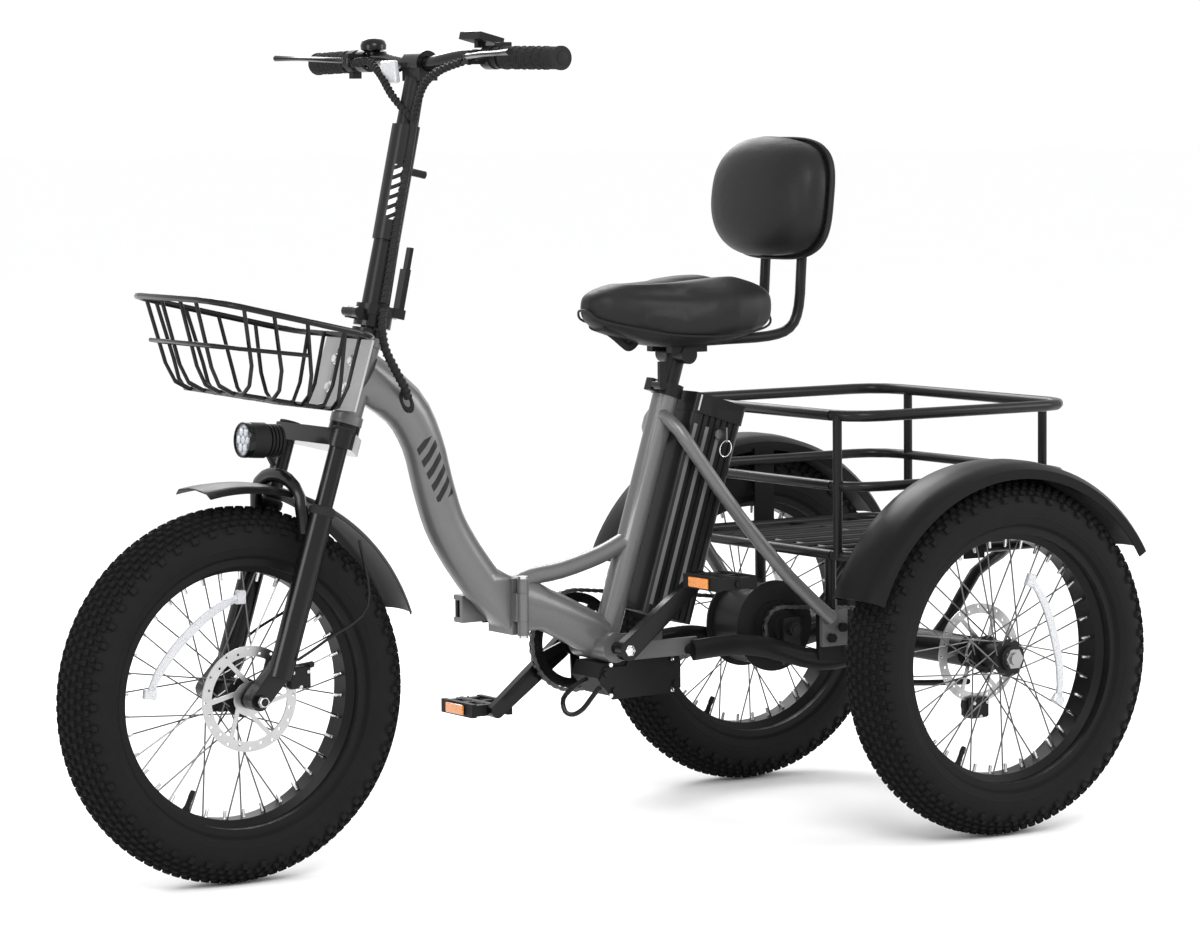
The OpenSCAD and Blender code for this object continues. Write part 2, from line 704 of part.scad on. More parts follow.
battery_x0 = -132;
battery_x1 = -34;
battery_half_w = 41;
module battery_case() {
    color("#151517") in_seat_frame() {
        translate([(battery_x0 + battery_x1) / 2, 0, 60]) difference() {
            round_box([battery_x1 - battery_x0, 2 * battery_half_w, 330], 14);
            for (s = [-1, 1], k = [-30:12:30])
                translate([k - 2, s > 0 ? battery_half_w - 2.5 : -battery_half_w - 2.5, -1]) cube([4, 5, 340]);
        }
        translate([(battery_x0 + battery_x1) / 2, 0, 390]) round_box([100, 86, 32], 12);
    }
}
key_pos = seat_at(-88, 366, 0);
module battery_key() {
    color("#b7b8ba") {
        along_y(key_pos, 8, battery_half_w + part_gap, battery_half_w + 5);
        translate([key_pos[0] - 1.2, battery_half_w + 4, key_pos[2] - 12]) cube([2.4, 22, 24]);
    }
}

// ---- Front frame: the curved main tube, head tube and front half of the hinge ----

main_path = smooth(
    [[172, 0, 420], [189, 0, 441], [217, 0, 480], [243, 0, 526], [262, 0, 585], [280, 0, 650], [314, 0, 708],
     [384, 0, 758]], 3);
main_half = [for (i = [0:len(main_path) - 1]) [34 + 5 * max(0, i - 15) / 6, 28]];
bore_head_r = 15;
latch_pivot = [188, -42];
latch_z0 = 368;
latch_z1 = 394;
module main_tube() {
    color("#5a5b5e") difference() {
        union() {
            sweep(main_path, main_half);
            hull() {
                translate([hinge_x + 0.6, -28, plate_z0 + 2]) cube([5, 56, plate_z1 - plate_z0 - 4]);
                translate(main_path[1]) rotate([0, 39, 0]) scale([33, 27, 1]) cylinder(r = 1, h = 3, $fn = tube_fn);
            }
            in_head_frame() cylinder(r = 22, h = head_len);
            in_head_frame() translate([0, 0, head_len - 14]) cylinder(r = 25, h = 14);
            in_head_frame() cylinder(r = 25, h = 14);
            translate([hinge_x + 0.6, -37, plate_z0]) cube([12, 72, plate_z1 - plate_z0]);
            knuckle(plate_z0 + knuckle_cut + part_gap, plate_z1 - knuckle_cut - part_gap, 1);
            for (z = [latch_z0 - 8.6, latch_z1 + 0.6])
                translate([latch_pivot[0] - 8, latch_pivot[1] - 8, z]) cube([16, 24, 8]);
            translate([hinge_x + 0.6, latch_pivot[1] + 10, latch_z0 - 8.6])
                cube([latch_pivot[0] + 7.4 - hinge_x, 8, latch_z1 - latch_z0 + 17.2]);
            translate([latch_pivot[0], latch_pivot[1], latch_z0 - 8]) cylinder(r = 4, h = latch_z1 - latch_z0 + 16);
        }
        in_head_frame() translate([0, 0, -2]) cylinder(r = bore_head_r + run_gap, h = head_len + 4);
        translate([hinge_x, hinge_y, plate_z0]) cylinder(r = hinge_pin_r + run_gap, h = 100);
    }
}
module frame_latch_lever() {
    back = latch_pivot[0] - 118;
    color("#1a1a1c") difference() {
        union() {
            translate([latch_pivot[0], latch_pivot[1], latch_z0]) cylinder(r = 9, h = latch_z1 - latch_z0);
            translate([latch_pivot[0] - back, latch_pivot[1] - 9, latch_z0]) cube([back, 9, latch_z1 - latch_z0]);
            translate([latch_pivot[0] - back, latch_pivot[1] - 9, latch_z0 - 14]) cube([26, 5, latch_z1 - latch_z0 + 28]);
        }
        translate([latch_pivot[0], latch_pivot[1], latch_z0 - 1])
            cylinder(r = 4 + run_gap, h = latch_z1 - latch_z0 + 2);
    }
}

slot_y = 24;            // the plate's two slots stand this far from its middle
bracket_x = 27;         // how far the basket's plate stands in front of the head tube's axis
module basket_bracket() {
    color("#a4a5a7") in_head_frame() {
        difference() {
            translate([bracket_x, -70, 16]) cube([3.5, 140, 112]);
            for (s = [-1, 1])
                translate([bracket_x - 1, s * slot_y - 3.5, 34]) cube([6, 7, 76]);
        }
        difference() {
            translate([0, -16, 50]) cube([bracket_x, 32, 44]);
            translate([0, 0, 40]) cylinder(r = 22, h = 70);
        }
    }
}
module basket_bolts() {
    color("#d5d6d8") in_head_frame() for (s = [-1, 1], z = [50, 94])
        translate([bracket_x + 3.5, s * slot_y, z]) rotate([0, 90, 0]) {
            cylinder(r = 6.5, h = 5, $fn = 6);
            cylinder(r = 9, h = 1.5, $fn = 24);
        }
}

basket_x0 = 428;
basket_x1 = 712;
rim_z0 = 822;
rim_z1 = 887;
floor_x0 = 466;
floor_x1 = 668;
floor_z0 = 712;
floor_z1 = 750;
function rim_z(x) = rim_z0 + (rim_z1 - rim_z0) * (x - basket_x0) / (basket_x1 - basket_x0);
function floor_z(x) = floor_z0 + (floor_z1 - floor_z0) * (x - floor_x0) / (floor_x1 - floor_x0);
// A wire across the basket: down one side, over the floor and up the other.
function cross_wire(x_rim, x_floor) =
    let (w = basket_half_w - 42, z = floor_z(x_floor))
    [[x_rim, basket_half_w, rim_z(x_rim)], [x_floor + 2, w + 26, z + 44], [x_floor, w + 14, z + 14],
     [x_floor, w - 6, z], [x_floor, 6 - w, z], [x_floor, -w - 14, z + 14],
     [x_floor + 2, -w - 26, z + 44], [x_rim, -basket_half_w, rim_z(x_rim)]];
// A wire along the basket: down the back, over the floor and up the front.
function long_wire(y) = [
    [basket_x0 + 5, y, rim_z(basket_x0)], [floor_x0 - 14, y * 0.92, floor_z0 + 34],
    [floor_x0, y * 0.88, floor_z0 + 6], [floor_x0 + 16, y * 0.86, floor_z(floor_x0 + 16)],
    [floor_x1 - 22, y * 0.86, floor_z(floor_x1 - 22)], [floor_x1, y * 0.88, floor_z1 + 8],
    [floor_x1 + 14, y * 0.92, floor_z1 + 36], [basket_x1 - 2, y, rim_z(basket_x1)]];
module front_basket() {
    mid_half_w = basket_half_w - 8;
    color("#161617") {
        wire(rounded_loop(basket_x0, basket_x1, -basket_half_w, basket_half_w, 46, rim_z0, rim_z1), 5, true);
        for (w = [[556, 540], [612, 590], [662, 640], [492, 490]])
            wire(cross_wire(w[0], w[1]), 3.5);
        for (y = [-80, -30, 30, 80])
            wire(long_wire(y), 3.5);
        wire([[552, mid_half_w, 801], [664, mid_half_w, 815], [694, mid_half_w - 34, 820],
              [694, 34 - mid_half_w, 820], [664, -mid_half_w, 815], [552, -mid_half_w, 801]], 3.5);
    }
}

// ---- Fork: crown, inner tubes and steerer, then the sliding lowers ----

fork_offset = 48;       // the legs stand this far in front of the steering axis
stem_collar_r = 29;
stem_pin_x = 38;        // the stem's hinge pin stands this far in front of its axis
stem_pin_z = 2;
module stem_base() {
    translate([0, 0, -16]) cylinder(r = stem_collar_r, h = 17.6);
    for (y = [-21, 9]) {
        translate([stem_pin_x, y, stem_pin_z]) rotate([-90, 0, 0]) cylinder(r = 8, h = 12);
        translate([stem_collar_r - 8, y, -8]) cube([stem_pin_x - stem_collar_r + 8, 12, 9]);
    }
    translate([stem_pin_x, -21, stem_pin_z]) rotate([-90, 0, 0]) cylinder(r = 3.5, h = 42);
}
module fork_upper() {
    color("#1a1a1c") {
        in_head_frame() translate([0, 0, -40]) cylinder(r = bore_head_r, h = head_len + 60);
        in_stem_frame() stem_base();
        in_head_frame() translate([0, 0, head_len + part_gap]) cylinder(r = 27, h = 10);
        in_head_frame() translate([0, 0, -20]) cylinder(r = 24, h = 20 - part_gap);
        in_head_frame() hull() {
            translate([0, 0, -44]) cylinder(r = 30, h = 26, $fn = 32);
            for (s = [-1, 1])
                translate([fork_offset, s * fork_half_w, -44]) cylinder(r = 21, h = 26, $fn = 32);
        }
        for (s = [-1, 1])
            rod(head_at(fork_offset, -330, s * fork_half_w), head_at(fork_offset, -36, s * fork_half_w), stanchion_r);
    }
}
module fork_lowers() {
    top_along = -145;
    foot_along = -400;
    color("#18181a") difference() {
        union() {
            for (s = [-1, 1]) {
                rod(head_at(fork_offset, foot_along, s * fork_half_w), head_at(fork_offset, top_along, s * fork_half_w), fork_leg_r);
                hull() {
                    along_y(front_axle, 15, s > 0 ? 62 : -90, s > 0 ? 90 : -62, 32);
                    translate(head_at(fork_offset, foot_along + 12, s * (fork_half_w - 6)))
                        rotate([90, 0, 0]) cylinder(r = 16, h = 24, center = true, $fn = 32);
                }
            }
            sweep(smooth([head_at(64, top_along - 36, 72), head_at(84, top_along + 14, 68), head_at(92, top_along + 36, 38),
                head_at(94, top_along + 41, 0), head_at(92, top_along + 36, -38), head_at(84, top_along + 14, -68),
                head_at(64, top_along - 36, -72)], 2), [[11, 9]], [1, 0, 0.01], 10);
            along_y(front_axle, 6, -104, 104);
            along_y(front_axle, 10, 90, 98, 6);
            along_y(front_axle, 10, -98, -90, 6);
        }
        for (s = [-1, 1])
            rod(head_at(fork_offset, -376, s * fork_half_w), head_at(fork_offset, 0, s * fork_half_w), stanchion_r + run_gap);
    }
}

front_fender_r = 308;
module front_fender() {
    color("#161618") {
        translate(front_axle + [2, 0, 8]) fender_shell(front_fender_r, 79, 161, fender_half_w - 2, 8);
    }
}
light_pos = [558, 0, 667];
module headlight() {
    color("#161617") translate(light_pos) rotate([0, 86, 0]) {
        cylinder(r = 27, h = 30);
        for (k = [0:4])
            translate([0, 0, -26 + 6 * k]) cylinder(r = 25, h = 3.4);
        translate([0, 0, -26]) cylinder(r = 18, h = 40);
    }
    color("#cfd0d2") sweep([[552, 0, 649], [547, 0, 640], [541, 0, 629]], [[3, 9]], [0, 1, 0], 8);
}

// ---- Folding stem ----

stem_foot = [363, 0, 846];
stem_top = [283, 0, 1208];
stem_angle = atan2(stem_foot[0] - stem_top[0], stem_top[2] - stem_foot[2]);
bar_centre = [275, 0, 1231];
module in_stem_frame() {
    translate(stem_foot) rotate([0, -stem_angle, 0]) children();
}
stem_len = norm(stem_top - stem_foot);
latch_x = -38;
latch_z = 12;
module stem_post() {
    color("#1b1b1d") {
        in_stem_frame() difference() {
            union() {
                translate([0, 0, 2]) cylinder(r1 = 22, r2 = 16, h = stem_len - 2);
                translate([0, 0, 2]) cylinder(r = stem_collar_r, h = 16);
                translate([stem_pin_x, -8.6, stem_pin_z]) rotate([-90, 0, 0]) cylinder(r = 8, h = 17.2);
                translate([stem_collar_r - 8, -8.6, 2]) cube([stem_pin_x - stem_collar_r + 8, 17.2, 8]);
                for (y = [-15, 10.4])
                    translate([-46, y, 4]) cube([24, 4.6, 15]);
                translate([latch_x, -15, latch_z]) rotate([-90, 0, 0]) cylinder(r = 3, h = 30);
            }
            translate([stem_pin_x, -9, stem_pin_z]) rotate([-90, 0, 0]) cylinder(r = 3.5 + run_gap, h = 18);
            translate([stem_collar_r, -40, -6]) cube([3, 30.6, 7]);
        }
        in_stem_frame() translate([-12, 0, 230]) rotate([0, -90, 0]) cylinder(r = 6, h = 34);
        difference() {
            translate([bar_centre[0] - 16, -26, bar_centre[2] - 26]) cube([32, 52, 20]);
            along_y(bar_centre, bar_r + 1.2, -27, 27);
        }
    }
}
module stem_cover() {
    color("#0f0f10") in_stem_frame() difference() {
        translate([0, 0, 119]) linear_extrude(178) polygon([
            [4, -20], [16, -18], [23, -6], [24, 8], [18, 20], [6, 26], [-6, 27], [-10, 23]]);
        translate([0, 0, 2]) cylinder(r1 = 22 + part_gap, r2 = 16 + part_gap, h = stem_len - 2);
    }
}

bar_half_path = [
    [275, 0, 1231], [275, 30, 1231], [273, 66, 1235], [265, 120, 1241], [259, 190, 1238], [249, bar_half_w, 1235]];
module handlebar() {
    left = smooth(bar_half_path, 3);
    whole = concat([for (i = [len(left) - 1:-1:1]) left[i]], flip(left, -1));
    color("#17181a") sweep(whole, [[bar_r, bar_r]], [0, 0, 1], tube_fn);
}
module bar_clamp() {
    color("#1f1f21") difference() {
        along_y(bar_centre, 20, -24, 24);
        along_y(bar_centre, bar_r + 0.6, -25, 25);
        translate([bar_centre[0] - 30, -30, bar_centre[2] - 40]) cube([60, 60, 34]);
    }
}

function bar_point(y, s) = let (t = (y - 190) / (bar_half_w - 190)) [259 - 10 * t, s * y, 1238 - 3 * t];
module grips() {
    inner_left = 222;
    inner_right = 250;  // the throttle stands between this grip and its lever
    color("#1d1d1e") for (s = [-1, 1]) difference() {
        rod(bar_point(s > 0 ? inner_left : inner_right, s), bar_point(bar_half_w + 4, s), 17);
        rod(bar_point(180, s), bar_point(bar_half_w + 1, s), bar_r + 0.4);
    }
}
lever_x = 296;          // pivot of each brake lever
lever_y = 180;
lever_z = 1242;
module brake_perches() {
    color("#1a1a1c") for (s = [-1, 1]) {
        difference() {
            translate([260, s * 188 - 12, 1238]) rotate([-90, 0, 0]) cylinder(r = 18, h = 24);
            translate([260, s * 188 - 20, 1238]) rotate([-90, 0, 0]) cylinder(r = bar_r + 2.4, h = 40);
        }
        translate([274, s * lever_y - 10, lever_z - 14]) cube([30, 20, 5]);
        translate([274, s * lever_y - 10, lever_z + 1]) cube([30, 20, 5]);
        translate([lever_x, s * lever_y, lever_z - 15]) cylinder(r = 3, h = 22);
    }
}
module lever_body(s) {
    z = lever_z - 4;
    path = [[lever_x + 2, s * 184, z], [lever_x + 22, s * 215, z + 2], [lever_x + 30, s * 262, z + 4],
        [lever_x + 30, s * 312, z + 5], [lever_x + 36, s * 352, z + 6]];
    color("#1e1e20") difference() {
        union() {
            translate([lever_x, s * lever_y, z - 4.5]) cylinder(r = 9, h = 9);
            sweep(path, [[4.4, 7], [4.4, 7], [4, 6], [4, 5], [5, 6]], [1, 0, 0], 8);
        }
        translate([lever_x, s * lever_y, lever_z - 20]) cylinder(r = 3 + run_gap, h = 30);
    }
}
module brake_lever_left() { lever_body(1); }
module brake_lever_right() { lever_body(-1); }
throttle_pos = bar_point(229, -1);
module throttle() {
    color("#232325") difference() {
        union() {
            along_y(throttle_pos, 18, -238, -220);
            translate([throttle_pos[0] - 8, -236, throttle_pos[2] - 27]) cube([16, 12, 14]);
        }
        along_y(throttle_pos, bar_r + 1.5, -240, -216);
    }
}
module display() {
    color("#121213") {
        translate([236, 122, 1256]) rotate([0, -14, 0]) cube([44, 58, 11]);
        translate([252, 146, 1253]) cube([14, 10, 12]);
    }
}

module cable_bundle() {
    path_down = smooth([[302, 28, 1146], [314, 30, 1090], [333, 32, 1010], [350, 35, 930], [366, 39, 868]], 3);
    path_left = smooth([[298, 163, 1232], [310, 120, 1220], [312, 76, 1200], [308, 44, 1166], [303, 28, 1144]], 3);
    path_right = smooth([[298, -163, 1234], [303, -110, 1236], [308, -64, 1216], [313, -18, 1182], [304, 26, 1146]], 3);
    color("#101011") {
        sweep(path_down, [[6, 6]], [0, 1, 0], 8);
        sweep(path_left, [[5, 5]], [1, 0, 0], 8);
        sweep(path_right, [[5, 5]], [1, 0, 0], 8);
    }
}
module cable_lower() {
    path = smooth([[368, 41, 860], [374, 45, 834], [370, 46, 800], [350, 44, 764], [335, 42, 740], [326, 38, 722]], 3);
    color("#101011") sweep(path, [[6, 6]], [0, 1, 0], 8);
}

module stem_latch() {
    color("#18181a") in_stem_frame() difference() {
        union() {
            translate([latch_x, -10, latch_z]) rotate([-90, 0, 0]) cylinder(r = 8, h = 20);
            translate([latch_x - 8, -9, latch_z]) cube([9, 18, 70]);
            translate([latch_x - 8, -6, latch_z + 64]) cube([6, 12, 40]);
        }
        translate([latch_x, -11, latch_z]) rotate([-90, 0, 0]) cylinder(r = 3 + run_gap, h = 22);
    }
}

// ---- The whole tricycle, centred on X = 0 ----

module placed() {
    translate([half_wheelbase - front_x, 0, 0]) children();
}

placed() rear_frame();
placed() rear_subframe();
placed() rear_rack();
placed() rear_fenders();
placed() controller_box();
placed() controller_cover();
placed() rest_loop();
placed() rear_caliper();
placed() frame_hinge_pin();
placed() chains();
placed() seat_clamp();
placed() motor_hub();
placed() crankset();
placed() pedal_left();
placed() pedal_right();
placed() rear_axle();
placed() seat_post();
placed() saddle();
placed() backrest_pad();
placed() backrest_tubes();
placed() seat_clamp_lever();
placed() battery_case();
placed() battery_key();
placed() frame_latch_lever();
placed() rear_left_tyre();
placed() rear_left_rim();
placed() rear_left_hub();
placed() rear_left_spokes();
placed() rear_right_tyre();
placed() rear_right_rim();
placed() rear_right_hub();
placed() rear_right_spokes();
placed() rear_rotor();
placed() main_tube();
placed() basket_bracket();
placed() basket_bolts();
placed() front_basket();
placed() fork_upper();
placed() cable_lower();
placed() fork_lowers();
placed() front_fender();
placed() headlight();
placed() front_caliper();
placed() front_tyre();
placed() front_rim();
placed() front_hub();
placed() front_spokes();
placed() front_rotor();
placed() stem_post();
placed() stem_cover();
placed() handlebar();
placed() bar_clamp();
placed() grips();
placed() brake_perches();
placed() display();
placed() cable_bundle();
placed() stem_latch();
placed() brake_lever_left();
placed() brake_lever_right();
placed() throttle();
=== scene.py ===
"""Looks of the folding electric tricycle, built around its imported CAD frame."""
from __future__ import annotations

import logging
from dataclasses import dataclass, field
from enum import Enum
from functools import lru_cache
from math import acos, atan2, copysign, cos, exp, hypot, pi, radians, sin, tau
from typing import Any, Callable, Iterable, Sequence

import bmesh
import bpy
from mathutils import Matrix, Vector

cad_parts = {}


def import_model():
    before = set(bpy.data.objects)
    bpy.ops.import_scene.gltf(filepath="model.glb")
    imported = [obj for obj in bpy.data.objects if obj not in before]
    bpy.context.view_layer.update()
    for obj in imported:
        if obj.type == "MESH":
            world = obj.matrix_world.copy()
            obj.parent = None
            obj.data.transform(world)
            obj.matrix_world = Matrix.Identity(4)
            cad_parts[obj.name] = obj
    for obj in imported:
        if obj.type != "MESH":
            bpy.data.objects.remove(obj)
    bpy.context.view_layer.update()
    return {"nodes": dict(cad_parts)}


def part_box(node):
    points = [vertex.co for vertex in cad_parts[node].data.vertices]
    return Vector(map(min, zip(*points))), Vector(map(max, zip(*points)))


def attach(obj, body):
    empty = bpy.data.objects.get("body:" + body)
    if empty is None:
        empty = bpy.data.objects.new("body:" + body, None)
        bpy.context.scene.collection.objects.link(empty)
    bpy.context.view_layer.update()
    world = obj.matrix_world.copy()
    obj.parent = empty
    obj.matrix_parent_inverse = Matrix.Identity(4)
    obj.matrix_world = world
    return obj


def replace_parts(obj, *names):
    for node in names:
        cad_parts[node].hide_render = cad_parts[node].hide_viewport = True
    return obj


log = logging.getLogger("tricycle")

MM = 0.001
SHIFT_X = 23.0  # the layout's X runs this many millimetres ahead of the frame's
TUBE_LEAN = 17.5  # degrees by which the seat tube and the head tube lean back
SPOKES = 36
AXLE_Z = 285.5
FRONT_AXLE_X, REAR_AXLE_X = 618, -572
AHEAD, LEFT, UP = Vector((1, 0, 0)), Vector((0, 1, 0)), Vector((0, 0, 1))

Point = Sequence[float]
Profile = Sequence[tuple[float, float]]
Socket = bpy.types.NodeSocket
Tint = tuple[float, float, float, float]
Inputs = dict[int | str, Any]


def at(x: float, y: float, z: float) -> Vector:
    """A layout point in millimetres as a frame point in metres."""
    return Vector(((x - SHIFT_X) * MM, y * MM, z * MM))


def grey(level: float, warm: float = 0.0) -> Tint:
    """A near-neutral colour of that linear level."""
    return (level * (1 + warm), level, level * (1 - warm), 1.0)


def tilted(foot: Point, forward: float, along: float, side: float = 0.0) -> Vector:
    """A point in the frame of a leaning tube.

    Args:
        foot: Layout point where the tube's axis starts, in millimetres.
        forward: Millimetres in front of the tube's axis.
        along: Millimetres up the tube.
        side: Millimetres to the rider's left.

    Returns:
        The frame point in metres.
    """
    c, s = cos(radians(TUBE_LEAN)), sin(radians(TUBE_LEAN))
    return at(foot[0] + forward * c - along * s, foot[1] + side, foot[2] + forward * s + along * c)


def seat_at(forward: float, along: float, side: float = 0.0) -> Vector:
    """A point in the seat tube's frame."""
    return tilted((-53, 0, 315), forward, along, side)


def head_at(forward: float, along: float, side: float = 0.0) -> Vector:
    """A point in the head tube's frame."""
    return tilted((415, 0, 684), forward, along, side)


def turns(count: int) -> list[float]:
    """Evenly spaced angles over one full turn."""
    return [tau * k / count for k in range(count)]


def smooth_path(points: Sequence[Vector], steps: int = 6) -> list[Vector]:
    """A smooth curve through the points, with that many steps on each span."""
    found: list[Vector] = []
    last = len(points) - 1
    for i in range(last):
        a, b = points[max(i - 1, 0)], points[i]
        c, d = points[i + 1], points[min(i + 2, last)]
        for k in range(steps):
            t = k / steps
            found.append(0.5 * (2 * b + (c - a) * t + (2 * a - 5 * b + 4 * c - d) * t * t
                                + (3 * b - a - 3 * c + d) * t ** 3))
    return found + [points[last].copy()]


# ---- Shader graphs ----


class Value:
    """One number of a shader, which takes part in arithmetic."""

    def __init__(self, graph: Graph, socket: Socket) -> None:
        """Wraps a socket of the graph."""
        self.graph = graph
        self.socket = socket

    def _math(self, operation: str, first: Any, second: Any = 0.0, clamp: bool = False) -> Value:
        """Adds one Math node and wraps what comes out of it."""
        return self.graph.number("ShaderNodeMath", {"operation": operation, "use_clamp": clamp},
                                 {0: first, 1: second})

    def __add__(self, other: Any) -> Value:
        """Sum."""
        return self._math("ADD", self, other)

    def __radd__(self, other: Any) -> Value:
        """Sum, the other way round."""
        return self._math("ADD", other, self)

    def __sub__(self, other: Any) -> Value:
        """Difference."""
        return self._math("SUBTRACT", self, other)

    def __rsub__(self, other: Any) -> Value:
        """Difference, the other way round."""
        return self._math("SUBTRACT", other, self)

    def __mul__(self, other: Any) -> Value:
        """Product."""
        return self._math("MULTIPLY", self, other)

    def __rmul__(self, other: Any) -> Value:
        """Product, the other way round."""
        return self._math("MULTIPLY", other, self)

    def __pow__(self, other: float) -> Value:
        """Power."""
        return self._math("POWER", self, other)

    def clip(self) -> Value:
        """Kept between 0 and 1."""
        return self._math("ADD", self, 0.0, clamp=True)

    def wave(self, length: float) -> Value:
        """A sine wave of that length."""
        return self._math("SINE", self * (tau / length))

    def size(self) -> Value:
        """The value without its sign."""
        return self._math("ABSOLUTE", self)

    def above(self, edge: float, soft: float = 0.05) -> Value:
        """0 below the edge and 1 above it, with a soft step."""
        return self.graph.number("ShaderNodeMapRange",
                                 {"interpolation_type": "SMOOTHSTEP", "clamp": True},
                                 {0: self, 1: edge - soft, 2: edge + soft})

    def within(self, half: float, soft: float) -> Value:
        """1 closer to zero than the half width, 0 outside it."""
        return 1 - self.size().above(half, soft)


class Graph:
    """A material's node tree, with its surface shader ready."""

    def __init__(self, label: str) -> None:
        """Starts a material of that name."""
        self.material = bpy.data.materials.new(label)
        self.material.use_nodes = True
        tree = self.material.node_tree
        self.nodes, self.links = tree.nodes, tree.links
        self.shader = self.nodes["Principled BSDF"]
        self.place = self.node("ShaderNodeTexCoord").outputs["Object"]

    def node(self, kind: str, settings: dict[str, Any] | None = None,
             inputs: Inputs | None = None) -> bpy.types.Node:
        """Adds any node.

        Args:
            kind: The node's type.
            settings: Its own settings, set first.
            inputs: Values or links of its sockets, by name or index.

        Returns:
            The node.
        """
        node = self.nodes.new(kind)
        for key, value in (settings or {}).items():
            setattr(node, key, value)
        for key, value in (inputs or {}).items():
            self.feed(node.inputs[key], value)
        return node

    def number(self, kind: str, settings: dict[str, Any] | None = None,
               inputs: Inputs | None = None, output: int | str = 0) -> Value:
        """Adds any node and wraps one of its outputs."""
        return Value(self, self.node(kind, settings, inputs).outputs[output])

    def feed(self, socket: Socket, value: Any) -> None:
        """Links a value or sets a plain number or colour."""
        if isinstance(value, Value):
            value = value.socket
        if isinstance(value, Socket):
            self.links.new(value, socket)
        else:
            socket.default_value = value

    def stretched(self, scale: Point) -> Socket:
        """The object's own coordinates, scaled."""
        inputs: Inputs = {"Vector": self.place, "Scale": scale}
        return self.node("ShaderNodeMapping", None, inputs).outputs[0]

    def noise(self, scale: float, detail: float = 4.0, rough: float = 0.55,
              place: Socket | None = None) -> Value:
        """Soft cloudy noise from 0 to 1, with scale in cells per metre."""
        return self.number("ShaderNodeTexNoise", None,
                           {"Vector": place or self.place, "Scale": scale, "Detail": detail,
                            "Roughness": rough}, "Fac")

    def cells(self, scale: float, feature: str = "F1", place: Socket | None = None) -> Value:
        """Distance in a field of cells, with scale in cells per metre."""
        return self.number("ShaderNodeTexVoronoi", {"feature": feature},
                           {"Vector": place or self.place, "Scale": scale}, "Distance")

    def axes(self) -> list[Value]:
        """The object's three coordinates as numbers."""
        split = self.node("ShaderNodeSeparateXYZ", None, {0: self.place})
        return [Value(self, output) for output in split.outputs]

    def radius(self, centre: tuple[float, float] = (0.0, 0.0)) -> Value:
        """Distance from an axis that runs along Y through that X and Z."""
        x, _, z = self.axes()
        dx, dz = x - centre[0], z - centre[1]
        return (dx * dx + dz * dz) ** 0.5

    def upward(self) -> Value:
        """1 where the surface faces up, 0 where it faces sideways or down."""
        normal = self.node("ShaderNodeNewGeometry").outputs["Normal"]
        return self.number("ShaderNodeSeparateXYZ", None, {0: normal}, 2).clip()

    def mix(self, share: Any, first: Any, second: Any) -> Socket:
        """A colour between two."""
        return self.node("ShaderNodeMix", {"data_type": "RGBA"},
                         {0: share, 6: first, 7: second}).outputs[2]

    def cloudy(self, tone: float, span: tuple[float, float], share: Value,
               warm: float = 0.0) -> Socket:
        """A grey that drifts between two shares of its tone."""
        return self.mix(share, grey(tone * span[0], warm), grey(tone * span[1], warm))

    def bump(self, height: Value, depth_mm: float, strength: float = 1.0) -> None:
        """Raises the surface by the height times the depth, on top of any earlier bump."""
        inputs: Inputs = {"Height": height, "Strength": strength, "Distance": depth_mm * MM}
        earlier = self.shader.inputs["Normal"].links
        if earlier:
            inputs["Normal"] = earlier[0].from_socket
        raised = self.node("ShaderNodeBump", None, inputs).outputs[0]
        self.feed(self.shader.inputs["Normal"], raised)

    def dress(self, **sockets: Any) -> None:
        """Feeds the surface shader, with names such as base_color or coat_weight."""
        for key, value in sockets.items():
            name = key.replace("_", " ").title().replace("Ior", "IOR")
            self.feed(self.shader.inputs[name], value)


# ---- Finishes ----


@dataclass(frozen=True)
class Finish:
    """What every finish has: a name, the record's slot and a way to paint its graph."""

    label: str
    slot: str

    def paint(self, g: Graph) -> None:
        """Fills the graph."""
        raise NotImplementedError


@lru_cache(maxsize=None)
def made(finish: Finish) -> bpy.types.Material:
    """The material of a finish, made once."""
    g = Graph(finish.label)
    finish.paint(g)
    return g.material


@dataclass(frozen=True)
class Coated(Finish):
    """Paint on metal: cloudy tone, orange peel, fine flake, handling marks and settled dust."""

    tone: float = 0.012
    warm: float = 0.0
    rough: float = 0.34
    metallic: float = 0.0
    coat: float = 0.3
    flake: float = 0.0
    peel_mm: float = 0.05
    dust: float = 0.008
    specular: float = 0.13
    flakes_per_m: float = 1900.0

    def paint(self, g: Graph) -> None:
        """Fills the graph."""
        smear = g.noise(38.0, 6.0, 0.62, g.stretched((1, 1, 0.25)))
        speck = g.cells(self.flakes_per_m)
        tone = g.cloudy(self.tone, (0.86, 1.14), g.noise(7.0, 5.0), self.warm)
        lit = g.mix(speck.above(0.42, 0.12) * self.flake, tone, grey(self.tone * 2.6 + 0.02))
        settled = (g.upward() ** 3.0) * g.noise(55.0, 6.0, 0.7).above(0.47, 0.16) * self.dust
        g.dress(base_color=g.mix(settled, lit, grey(0.34, 0.03)),
                roughness=(self.rough - 0.05 + 0.10 * smear + 0.3 * settled).clip(),
                metallic=self.metallic, coat_weight=self.coat, coat_roughness=0.16,
                specular_ior_level=self.specular)
        g.bump(g.noise(420.0, 2.0), self.peel_mm, 0.35)
        g.bump(speck, self.peel_mm * 0.3, 0.18)


